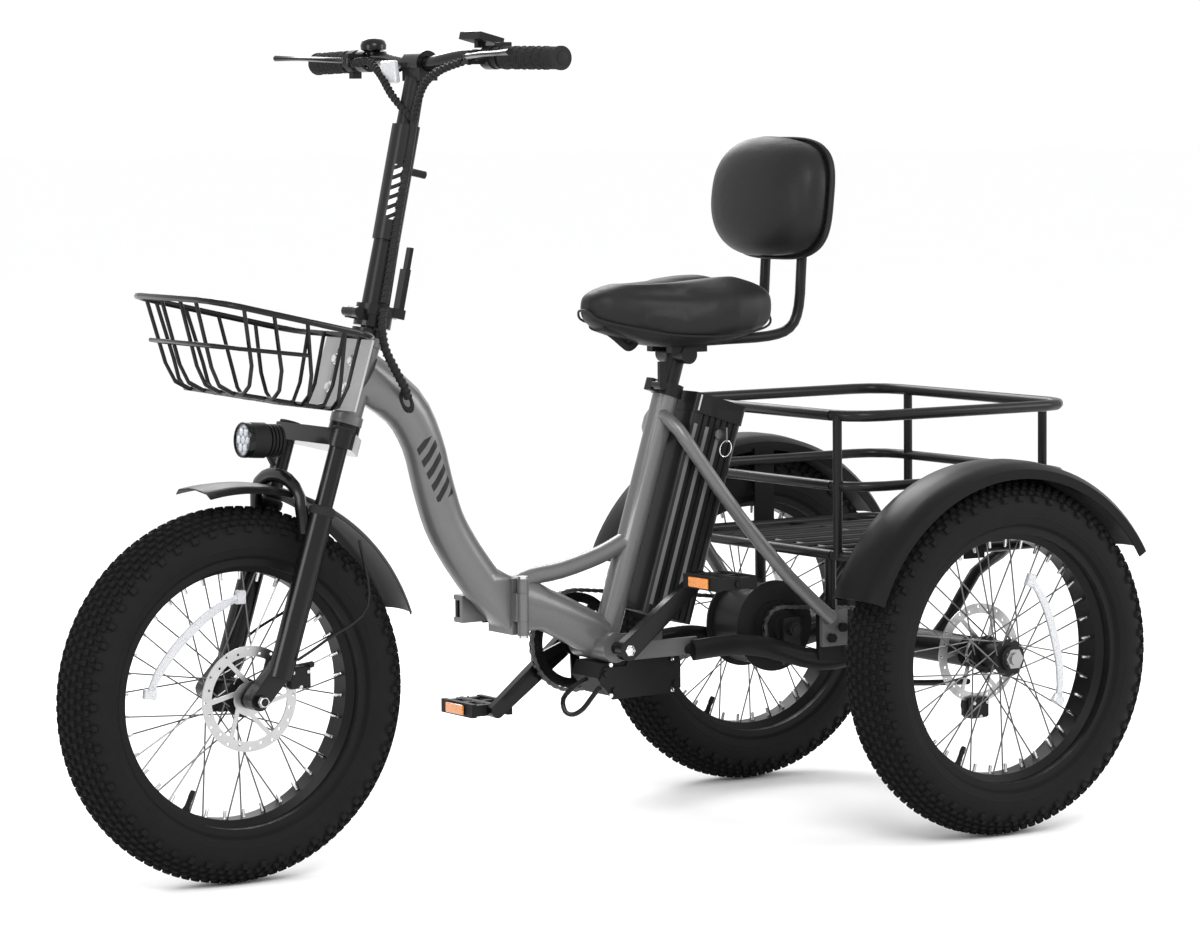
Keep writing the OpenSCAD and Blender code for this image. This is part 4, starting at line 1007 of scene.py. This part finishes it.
@dataclass
class Backrest(Cushion):
    """The backrest: a crowned pad on a thin shell with a welt round its edge."""

    middle: Vector = field(default_factory=lambda: at(-382, 0, 1014))
    half: tuple[float, float] = (0.138, 0.096)
    lean: float = -6.0
    corner: float = 3.4

    def outline(self, x: float, count: int, share: float = 1.0, grow: float = 0.0,
                power: float | None = None) -> list[Vector]:
        """A ring of the rounded outline at a depth of the tilted pad.

        Args:
            x: Metres in front of the pad's middle.
            count: Points in the ring.
            share: The outline's size as a share of the whole.
            grow: Metres added to the half sizes.
            power: How square the corners are.

        Returns:
            The frame points.
        """
        power = power or self.corner
        turn = Matrix.Rotation(radians(self.lean), 3, "Y")
        found = []
        for t in turns(count):
            c, s = cos(t), sin(t)
            size = share * (abs(c) ** power + abs(s) ** power) ** (-1 / power)
            found.append(self.middle + turn @ Vector((x, (self.half[0] + grow) * c * size,
                                                      (self.half[1] + grow) * s * size)))
        return found

    def shape(self) -> Builder:
        """Lofts rings from the flat back to the crowned front."""
        levels = ((-0.024, 0.90, 3.4), (-0.022, 0.975, 3.3), (-0.012, 1.0, 3.1), (0.004, 1.0, 2.8),
                  (0.018, 0.97, 2.6), (0.030, 0.89, 2.45), (0.039, 0.75, 2.3), (0.045, 0.55, 2.2),
                  (0.048, 0.28, 2.1))
        return Builder(self.name).loft([self.outline(x, 64, share, power=power)
                                        for x, share, power in levels])

    def trim(self) -> None:
        """The back shell and the welt."""
        Builder("backrest_shell").loft([self.outline(x, 96, grow=grow) for x, grow in (
            (-0.0295, -0.030), (-0.0300, -0.012), (-0.0270, 0.0005), (-0.0225, 0.0030),
            (-0.0195, 0.0010))]).build(BLACK_PLASTIC, self.body)
        Builder("backrest_welt").tube(self.outline(-0.0185, 120, grow=0.0012), 0.0026, 8,
                                      closed=True).build(SEAT_SKIN, self.body)


# ---- Cockpit ----


@dataclass
class Cockpit:
    """Everything dressed on the handlebar and stem."""

    grip_r: float = 16.8
    rib_pitch: float = 6.2
    display: Vector = field(default_factory=lambda: at(236, 151, 1256))

    def bar_point(self, y: float, side: float) -> Vector:
        """The bar's axis at that distance from the middle."""
        t = (y - 190) / 170
        return at(259 - 10 * t, side * y, 1238 - 3 * t)

    def grips(self) -> None:
        """Two rubber grips with rings, a waffle field and flanged ends."""
        for label, side, inner in (("left", 1, 222), ("right", -1, 250)):
            start = self.bar_point(inner, side)
            axis = self.bar_point(364, side) - start
            length, r = axis.length / MM, self.grip_r
            profile = [(0, 12.5), (0, 17.8), (4, 18), (5.5, r)]
            along = 10.0
            while along < length - 12:
                profile += [(along, r), (along + 0.8, r - 1), (along + 2, r - 1), (along + 2.8, r)]
                along += self.rib_pitch
            profile += [(length - 8, r), (length - 6, 18), (length - 1, 18), (length, 16.8),
                        (length, 4.5), (length - 2, 3.5)]
            b = Builder(f"grip_{label}").lathe(start, axis, profile, 40)
            quat = axis.normalized().to_track_quat("Z", "Y")
            for row in range(5):
                spot = start + axis * (0.2 + 0.13 * row)
                for k in range(14):
                    turn = tau * (k + 0.5 * (row % 2)) / 14
                    out = quat @ Vector((cos(turn), sin(turn), 0))
                    b.block(spot + out * (r * MM), (0.0024, 0.0022, 0.0009),
                            out.to_track_quat("Z", "Y").to_matrix(), 0.0005)
            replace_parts(b.build(GRIP_RUBBER, "stem", 30.0), "grips")

    def wraps(self) -> None:
        """Spiral wrap round the cable runs."""
        down = ((314, 30, 1090), (333, 32, 1010), (350, 35, 930), (366, 39, 868))
        left = ((298, 163, 1232), (310, 120, 1220), (312, 76, 1200), (308, 44, 1166),
                (303, 28, 1144))
        right = ((298, -163, 1234), (303, -110, 1236), (308, -64, 1216), (313, -18, 1182),
                 (304, 26, 1146))
        low = ((368, 41, 860), (374, 45, 834), (370, 46, 800), (350, 44, 764), (335, 42, 740),
               (326, 38, 722))
        for name, path, radius, body in (
                ("down", down, 0.0061, "stem"), ("left", left, 0.0051, "stem"),
                ("right", right, 0.0051, "stem"), ("low", low, 0.0061, "fork")):
            run = spiral(smooth_path([at(*p) for p in path], 5), radius, 0.0092)
            Builder(f"cable_wrap_{name}").tube(run, 0.0016, 6, up=LEFT).build(WRAP_SKIN, body, 60.0)

    def controls(self) -> None:
        """Display window and keys, switch pod, bell, front reflector and bar ends."""
        tilt = Matrix.Rotation(radians(-14), 3, "Y")
        Builder("display_window").block(
            self.display + tilt @ Vector((0.0245, 0, 0.0112)), (0.0165, 0.024, 0.0009), tilt,
            0.0004).build(DISPLAY_GLASS, "stem")
        keys = Builder("display_keys")
        for k in (-1, 0, 1):
            keys.block(self.display + tilt @ Vector((0.0050, 0.014 * k, 0.0118)),
                       (0.0026, 0.0042, 0.0012), tilt)
        keys.build(GRIP_RUBBER, "stem")
        spot = self.bar_point(206, 1)
        pod = Builder("switch_pod").lathe(
            spot, Vector((-0.0588, 1, -0.0176)),
            [(-8, 12.5), (-8, 16.8), (8, 16.8), (8, 12.5)])
        pod.block(spot + Vector((-0.006, 0, 0.0175)), (0.010, 0.009, 0.0055))
        pod.build(BLACK_PLASTIC, "stem")
        spot = self.bar_point(158, -1) + Vector((0.004, 0, 0.0215))
        bell = Builder("bell").lathe(spot, UP, [(-9, 12), (-5, 20), (2, 20.5),
                                                (8, 18), (12, 12), (13.8, 4)])
        bell.lathe(spot - UP * 0.020, UP, [(0, 6), (12, 6)], 16).build(GLOSS_BLACK, "stem")
        Builder("front_reflector").block(at(304, -40, 1219), (0.0045, 0.021, 0.0175),
                                         Matrix.Rotation(radians(6), 3, "Y"),
                                         0.003).build(CLEAR_PRISM, "stem")
        arm = [at(298, -40, 1219), at(286, -40, 1222), at(275, -36, 1231)]
        Builder("front_reflector_arm").tube(arm, 0.0028, 10, up=LEFT).build(BLACK_PLASTIC, "stem")
        ends = Builder("bar_end_caps")
        for side in (1, -1):
            way = self.bar_point(364, side) - self.bar_point(360, side)
            ends.lathe(self.bar_point(362.5, side), way,
                       [(-2, 9.8), (2.2, 9.8), (2.6, 8)], 24)
        ends.build(BLACK_PLASTIC, "stem")


# ---- Front end ----


@dataclass
class FrontEnd:
    """The headlight's face, the cable grommet, and the fork's and fender's details."""

    lamp_deg: float = 4.0
    leg_forward: float = 48.0
    leg_side: float = 82.0

    def lamp(self) -> None:
        """The headlight's bowl, ring of reflector cups, lens and rim."""
        axis = Vector((cos(radians(self.lamp_deg)), 0, sin(radians(self.lamp_deg))))
        face = at(558, 0, 667) + axis * 0.030
        Builder("lamp_bowl").lathe(face, axis, [(0.2, 24), (0.6, 22.6), (0.3, 4)],
                                   48).build(BRIGHT_STEEL, "fork_slider")
        beads = Builder("lamp_cups")
        quat = axis.to_track_quat("Z", "Y")
        spots = [face + quat @ Vector((0.0135 * cos(t), 0.0135 * sin(t), 0)) for t in turns(6)]
        for spot in spots + [face]:
            beads.lathe(spot, axis, [(0.4, 6.2), (2.2, 6), (1.6, 4),
                                     (0.8, 1.5)], 20)
        beads.build(CHROME, "fork_slider")
        Builder("lamp_lens").lathe(face, axis, [(2.6, 23.6), (4.2, 23.8), (5.2, 20),
                                                (5.6, 10), (5.7, 1)],
                                   48).build(LENS, "fork_slider")
        Builder("lamp_rim").lathe(face, axis, [(-4, 27.2), (4, 27.4), (6.2, 26.2),
                                               (6.2, 24), (1, 23.8), (-4, 25)],
                                  48, closed=True).build(GLOSS_BLACK, "fork_slider")

    def grommet(self) -> None:
        """The rubber grommet where the cables enter the main tube, lying on the tube's side."""
        centre = at(322, 24, 716)
        way = Vector((-0.55, 0.0, -1.0)).normalized()
        side = way.cross(LEFT)
        levels = ((-0.004, 1.0), (0.002, 1.0), (0.0045, 0.86), (0.005, 0.55), (0.003, 0.45))
        Builder("cable_grommet").loft([
            [centre + LEFT * lift + way * (0.021 * grow * cos(t)) + side * (0.0115 * grow * sin(t))
             for t in turns(28)] for lift, grow in levels]).build(GRIP_RUBBER, "front_frame")

    def stays(self) -> None:
        """The fender's wire stays, the fork's caps and seals, and the axle nuts."""
        wire, caps = Builder("front_fender_stays"), Builder("fork_caps")
        seals, nuts = Builder("fork_seals"), Builder("front_axle_nuts")
        up = head_at(0, 1) - head_at(0, 0)
        for side in (1, -1):
            wire.tube(smooth_path([head_at(36, -368, side * 100), head_at(0, -330, side * 103),
                                   head_at(-60, -262, side * 98), at(428, side * 60, 512)], 5),
                      0.0024)
            caps.lathe(head_at(self.leg_forward, -18, side * self.leg_side), up,
                       [(-1, 16.5), (4, 16.5), (5.5, 15), (5.8, 8),
                        (5, 6)], 28)
            seals.lathe(head_at(self.leg_forward, -147, side * self.leg_side), up,
                        [(-2, 19.8), (4, 20.5), (9, 20), (12, 16.5),
                         (12.5, 14.6)])
            nuts.bolt(at(FRONT_AXLE_X, side * 98, AXLE_Z), LEFT * side, 9.4, 6)
        wire.build(BLACK_PAINT, "fork_slider")
        caps.build(BLACK_PLASTIC, "fork")
        seals.build(GRIP_RUBBER, "fork_slider")
        nuts.build(BRIGHT_STEEL, "fork_slider")


# ---- Drive train ----


@dataclass
class Loop:
    """One chain round two sprockets, in layout millimetres."""

    name: str
    first: Point
    first_teeth: int
    second: Point
    second_teeth: int
    pitch: float = 12.7
    plate_r: float = 3.6
    waist: float = 2.3

    def line(self) -> list[Vector]:
        """The pitch line as closely spaced points, in order round the loop."""
        ra, rb = (t * self.pitch / tau for t in (self.first_teeth, self.second_teeth))
        ax, ay, az = self.first
        bx, _, bz = self.second
        base = atan2(bz - az, bx - ax)
        wrap = acos((ra - rb) / hypot(bx - ax, bz - az))
        found: list[Vector] = []
        for x, z, r, start, stop in ((ax, az, ra, base + wrap, base + tau - wrap),
                                     (bx, bz, rb, base - wrap, base + wrap)):
            for k in range(49):
                turn = start + (stop - start) * k / 48
                found.append(Vector((x + r * cos(turn), ay, z + r * sin(turn))))
        return found

    def pins(self) -> list[Vector]:
        """An even number of pins, evenly spaced along the pitch line."""
        line = self.line()
        spans = list(zip(line, line[1:] + line[:1]))
        lengths = [(b - a).length for a, b in spans]
        count = 2 * round(sum(lengths) / self.pitch / 2)
        found: list[Vector] = []
        walked, index = 0.0, 0
        for k in range(count):
            goal = sum(lengths) * k / count
            while walked + lengths[index] < goal:
                walked += lengths[index]
                index += 1
            a, b = spans[index]
            found.append(a.lerp(b, (goal - walked) / max(lengths[index], 1e-6)))
        return found

    def links(self) -> bpy.types.Object:
        """Plates and rollers at an even pitch."""
        pins = self.pins()
        b = Builder(self.name)
        for k, pin in enumerate(pins):
            offset = 1.75 if k % 2 else 2.9
            for side in (-1, 1):
                self.plate(b, pin, pins[(k + 1) % len(pins)], side * offset)
            b.lathe(at(pin.x, pin.y - 3.4, pin.z), LEFT, [(0, 1.6), (6.8, 1.6)], 8)
            b.lathe(at(pin.x, pin.y - 1.4, pin.z), LEFT, [(0, 3.4), (2.8, 3.4)], 10)
        return b.build(CHAIN_STEEL, "rear_frame", 35.0)

    def plate(self, b: Builder, pin: Vector, after: Vector, y: float) -> None:
        """One figure-of-eight side plate between two pins."""
        run = after - pin
        length, along = run.length, run.normalized()
        up = Vector((-along.z, 0, along.x))
        outline: list[tuple[float, float]] = []
        for shift, start, waist in ((0.0, pi / 2, -self.waist), (length, -pi / 2, self.waist)):
            for k in range(7):
                turn = start + pi * k / 6
                outline.append((shift + self.plate_r * cos(turn), self.plate_r * sin(turn)))
            outline.append((length / 2, waist))
        b.loft([[at(*(pin + along * s + up * t + LEFT * dy)) for s, t in outline]
                for dy in (y - 0.45, y + 0.45)])


@dataclass
class DriveTrain:
    """Chains, pedal reflectors and pins, and crank bolts, in layout millimetres."""

    crank: Point = (-42, -72, 309.5)
    motor_right: Point = (-356, -72, 320)
    motor_left: Point = (-356, 60, 320)
    axle: Point = (REAR_AXLE_X, 60, AXLE_Z)
    arm: float = 170.0
    arm_deg: float = 38.5

    def chains(self) -> None:
        """Both chain loops."""
        for loop in (Loop("pedal_chain", self.crank, 40, self.motor_right, 18),
                     Loop("axle_chain", self.axle, 24, self.motor_left, 16)):
            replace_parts(loop.links(), "chains")

    def reflectors(self) -> None:
        """Amber reflectors and grip pins on both pedals, and the crank bolts."""
        reach, rise = self.arm * cos(radians(self.arm_deg)), self.arm * sin(radians(self.arm_deg))
        for label, side, y in (("left", 1, 148), ("right", -1, -157)):
            x, z = self.crank[0] - side * reach, self.crank[2] + side * rise
            b = Builder(f"pedal_reflectors_{label}")
            for end in (-1, 1):
                b.block(at(x + end * 41.2, y, z), (0.0016, 0.0262, 0.0080), None, 0.0010)
            b.build(AMBER, f"{label}_pedal")
            pins = Builder(f"pedal_pins_{label}")
            for dx in (-30, -10, 10, 30):
                for dy in (-43, -2, 39):
                    for up in (-1, 1):
                        pins.lathe(at(x + dx, y + dy, z + up * 9), UP * up,
                                   [(0, 2.2), (1.6, 1.8)], 8)
            pins.build(BLACK_PLASTIC, f"{label}_pedal")
        bolts = Builder("crank_bolts")
        for y, side in ((90, 1), (-98, -1)):
            bolts.bolt(at(self.crank[0], y, self.crank[2]), LEFT * side, 9.5, 4)
        bolts.build(CHROME, "cranks")


# ---- Rear end ----


@dataclass
class Caliper:
    """A cable disc brake: cast body, piston cap, pull arm, bolts and cable end."""

    name: str
    node: str
    body: str
    mount: Vector
    reach: Vector

    def build(self) -> None:
        """Makes the cast body in the node's box and dresses it."""
        lo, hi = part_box(self.node)
        pos = Vector((self.reach.x, 0, self.reach.z))
        out_y = self.reach.y
        b = Builder(f"{self.name}_cast")
        for y0, y1 in ((lo.y + 0.006, out_y - 0.0026), (out_y + 0.0026, hi.y)):
            b.block(pos + Vector((0, (y0 + y1) / 2, -0.004)), (0.0185, (y1 - y0) / 2, 0.0165),
                    edge=0.005)
        b.block(pos + Vector((0, (lo.y + hi.y) / 2 + 0.002, -0.0185)),
                (0.0150, (hi.y - lo.y) / 2 - 0.006, 0.0032), None, 0.002)
        b.lathe(pos + Vector((0, lo.y + 0.007, -0.002)), -LEFT,
                [(-1, 15), (4, 15), (6, 13), (6.5, 6)], 28)
        bend = (self.mount + pos) / 2 + AHEAD * 0.004
        b.tube(smooth_path([self.mount, bend, pos + UP * 0.008], 5), 0.0072, 12, 0.7)
        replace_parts(b.build(MOTOR_BLACK, self.body), self.node)
        root = pos + Vector((0, lo.y + 0.0015, -0.002))
        tip = root + Vector((-0.026, 0.001, -0.018))
        arm = Builder(f"{self.name}_arm")
        arm.tube([root, root.lerp(tip, 0.5) + Vector((0.001, 0, 0.002)), tip],
                 lambda t: 0.0060 - 0.0022 * t, 12, 0.35, LEFT)
        arm.lathe(tip, LEFT, [(-4, 4.5), (4, 4.5)], 14).build(GLOSS_BLACK, self.body)
        bolts = Builder(f"{self.name}_bolts")
        for dx, dz in ((0.013, 0.004), (-0.013, 0.004), (0.0, -0.018)):
            bolts.bolt(pos + Vector((dx, hi.y - 0.0008, dz)), LEFT, 3.4, 3)
        bolts.bolt(root - LEFT * 0.0022, -LEFT, 4.6, 3.2).build(BRIGHT_STEEL, self.body)
        Builder(f"{self.name}_inner_wire").tube(
            [tip, tip + Vector((0.020, 0, 0.022)), tip + Vector((0.030, 0, 0.034))], 0.0009,
            6).build(BRIGHT_STEEL, self.body)


@dataclass
class RearEnd:
    """Axle washer, cover bolts, the key's ring and the battery's strips."""

    def nuts(self) -> None:
        """The left axle nut's washer."""
        Builder("rear_axle_nut_left").lathe(at(REAR_AXLE_X, 389, AXLE_Z), LEFT,
                                            [(0, 15), (1.6, 15)]).build(CHROME, "left_wheel")

    def bolts(self) -> None:
        """Bolts of the controller's cover."""
        lo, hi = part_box("controller_cover")
        b = Builder("cover_bolts")
        for u, v in ((0.12, 0.12), (0.88, 0.12), (0.12, 0.86), (0.88, 0.86)):
            spot = Vector((lo.x + (hi.x - lo.x) * u, hi.y - 0.0005, lo.z + (hi.z - lo.z) * v))
            b.bolt(spot, LEFT, 4.2, 2.8)
        b.build(CHROME, "rear_frame")

    def key(self) -> None:
        """The ring on the key."""
        lo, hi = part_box("battery_key")
        centre = Vector(((lo.x + hi.x) / 2, hi.y - 0.004, lo.z - 0.010))
        Builder("key_ring").tube(
            [centre + Vector((0.011 * cos(t), 0.003 * sin(t), 0.013 * sin(t))) for t in turns(40)],
            0.0008, 6, closed=True).build(CHROME, "key")

    def battery(self) -> None:
        """Pale strips on the battery's sides and the bar on its cap."""
        turn = Matrix.Rotation(radians(-TUBE_LEAN), 3, "Y")
        strips, bars = Builder("battery_strips"), Builder("battery_cap_bars")
        for side in (1, -1):
            for forward in (-42, -65, -89):
                strips.block(seat_at(forward, 223, side * 41.2), (0.0033, 0.0005, 0.149), turn,
                             0.0002)
            bars.block(seat_at(-39, 406, side * 43.3), (0.0016, 0.0006, 0.013), turn, 0.0002)
        strips.build(STRIP_GREY, "battery")
        bars.build(BRIGHT_STEEL, "battery")


# ---- Carried-over nodes ----


@dataclass
class Carried:
    """The CAD nodes that stay in view."""

    nodes: dict[str, bpy.types.Object]
    smooth_deg: float = 38.0

    def soften(self) -> bpy.types.NodeTree:
        """A modifier group that welds doubled points and shades smooth up to an angle."""
        group = bpy.data.node_groups.new("weld_and_smooth", "GeometryNodeTree")
        for way in ("INPUT", "OUTPUT"):
            group.interface.new_socket("Geometry", in_out=way, socket_type="NodeSocketGeometry")
        start, end, drop, weld, faces, edges, angle, less = (group.nodes.new(kind) for kind in (
            "NodeGroupInput", "NodeGroupOutput", "GeometryNodeRemoveAttribute",
            "GeometryNodeMergeByDistance", "GeometryNodeSetShadeSmooth",
            "GeometryNodeSetShadeSmooth", "GeometryNodeInputMeshEdgeAngle", "FunctionNodeCompare"))
        drop.inputs["Name"].default_value = "custom_normal"
        weld.inputs["Distance"].default_value = 2e-6
        faces.domain, edges.domain = "FACE", "EDGE"
        less.data_type, less.operation = "FLOAT", "LESS_THAN"
        less.inputs[1].default_value = radians(self.smooth_deg)
        for first, second in ((start, drop), (drop, weld), (weld, faces), (faces, edges)):
            group.links.new(first.outputs[0], second.inputs["Geometry"])
        group.links.new(angle.outputs["Unsigned Angle"], less.inputs[0])
        group.links.new(less.outputs[0], edges.inputs["Shade Smooth"])
        group.links.new(edges.outputs[0], end.inputs[0])
        return group

    def dress(self) -> None:
        """Gives every shown node its finish and smooth shading."""
        group = self.soften()
        for name, piece in self.nodes.items():
            if piece.hide_render:
                continue
            piece.data.materials.clear()
            piece.data.materials.append(made(FINISHES[name]))
            piece.modifiers.new("soften", "NODES").node_group = group
            log.info("dressed %s with %s", name, FINISHES[name].label)


# ---- Stage ----


@dataclass
class Stage:
    """Pale floor, soft studio light and the camera."""

    eye: Point = (3.5425, 5.5417, 1.1721)
    ahead: Point = (-0.54408, -0.83444, -0.08768)
    roll: float = -0.0093
    lens: float = 125.518
    surround: float = 1.06
    floor_tone: float = 0.955
    floor_half: float = 200.0
    floor_z: float = -0.0006
    lamps: Sequence[tuple[str, Point, float, float]] = (
        # name, place, size in metres, power in watts
        ("key", (1.6, 3.4, 3.4), 2.2, 120), ("front_fill", (4.2, 0.6, 1.7), 1.8, 55),
        ("back_fill", (-3.4, 2.4, 1.9), 2.0, 60), ("rim", (-1.2, -3.2, 3.0), 2.2, 90))

    def show(self, name: str, data: bpy.types.ID) -> bpy.types.Object:
        """Puts a lamp, camera or mesh into the scene."""
        thing = bpy.data.objects.new(name, data)
        bpy.context.scene.collection.objects.link(thing)
        return thing

    def camera(self) -> None:
        """The camera at the side of the tricycle's front left."""
        data = bpy.data.cameras.new("camera")
        data.lens, data.sensor_width = self.lens, 36.0
        data.clip_start, data.clip_end = 0.1, 100.0
        cam = self.show("camera", data)
        ahead = Vector(self.ahead).normalized()
        right = ahead.cross(UP).normalized()
        up = right.cross(ahead)
        c, s = cos(self.roll), sin(self.roll)
        turn = Matrix((right * c + up * s, up * c - right * s, -ahead)).transposed()
        cam.matrix_world = Matrix.Translation(self.eye) @ turn.to_4x4()
        bpy.context.scene.camera = cam

    def light(self) -> None:
        """A big key above the camera side, two fills, a rim light and a pale surround."""
        for name, place, size, power in self.lamps:
            data = bpy.data.lights.new(name, "AREA")
            data.shape, data.size, data.energy = "DISK", size, power
            lamp = self.show(name, data)
            lamp.location = place
            lamp.rotation_mode = "QUATERNION"
            lamp.rotation_quaternion = (UP * 0.6 - Vector(place)).to_track_quat("-Z", "Y")
        world = bpy.data.worlds.new("surround")
        world.use_nodes = True
        sky = world.node_tree.nodes["Background"]
        sky.inputs[0].default_value = (0.99, 0.99, 1.0, 1.0)
        sky.inputs[1].default_value = self.surround
        bpy.context.scene.world = world
        bpy.context.scene.view_settings.view_transform = "Standard"

    def floor(self) -> None:
        """A wide plain floor."""
        mesh = bpy.data.meshes.new("floor")
        wide = self.floor_half
        corners = ((-wide, -wide), (wide, -wide), (wide, wide), (-wide, wide))
        mesh.from_pydata([(x, y, self.floor_z) for x, y in corners], [], [(0, 1, 2, 3)])
        sheet = self.show("floor", mesh)
        g = Graph("floor_paper")
        g.dress(base_color=g.cloudy(self.floor_tone, (0.985, 1.0), g.noise(1.5)), roughness=0.9,
                specular_ior_level=0.1)
        mesh.materials.append(g.material)

    def set_up(self) -> None:
        """All of the stage."""
        self.camera()
        self.light()
        self.floor()


def main() -> None:
    """Builds the tricycle's looks round the frame."""
    logging.basicConfig(level=logging.INFO, format="%(name)s: %(message)s")
    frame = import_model()
    Stage().set_up()
    for name, x, y, body, strip in (
            ("front", FRONT_AXLE_X, 0, "front_wheel", Strip(49, 86, 0.022, 0.150, 0.131)),
            ("rear_left", REAR_AXLE_X, 350, "left_wheel", Strip(164, 104, 0.022, 0.130, 0.101)),
            ("rear_right", REAR_AXLE_X, -350, "right_wheel", Strip(160, 96, -0.022, 0.130, 0.101))):
        wheel = Wheel(name, at(x, y, AXLE_Z), body, strip)
        wheel.tyre()
        wheel.fittings()
    for cushion in (Saddle("saddle_pad", "saddle", "seat", cap=0.007),
                    Backrest("backrest_cushion", "backrest_pad", "seat", cap=0.008)):
        cushion.make()
        cushion.trim()
    cockpit, front, drive, rear = Cockpit(), FrontEnd(), DriveTrain(), RearEnd()
    for step in (cockpit.grips, cockpit.wraps, cockpit.controls, front.lamp, front.grommet,
                 front.stays, drive.chains, drive.reflectors):
        step()
    Caliper("rear_brake", "rear_caliper", "rear_frame", at(REAR_AXLE_X, 272, 236),
            at(-566, 301.5, 203)).build()
    Caliper("front_brake", "front_caliper", "fork_slider", at(514, 62, 330),
            at(536, 53, 316)).build()
    for step in (rear.nuts, rear.bolts, rear.key, rear.battery):
        step()
    Carried(frame["nodes"]).dress()


if __name__ == "__main__":
    main()
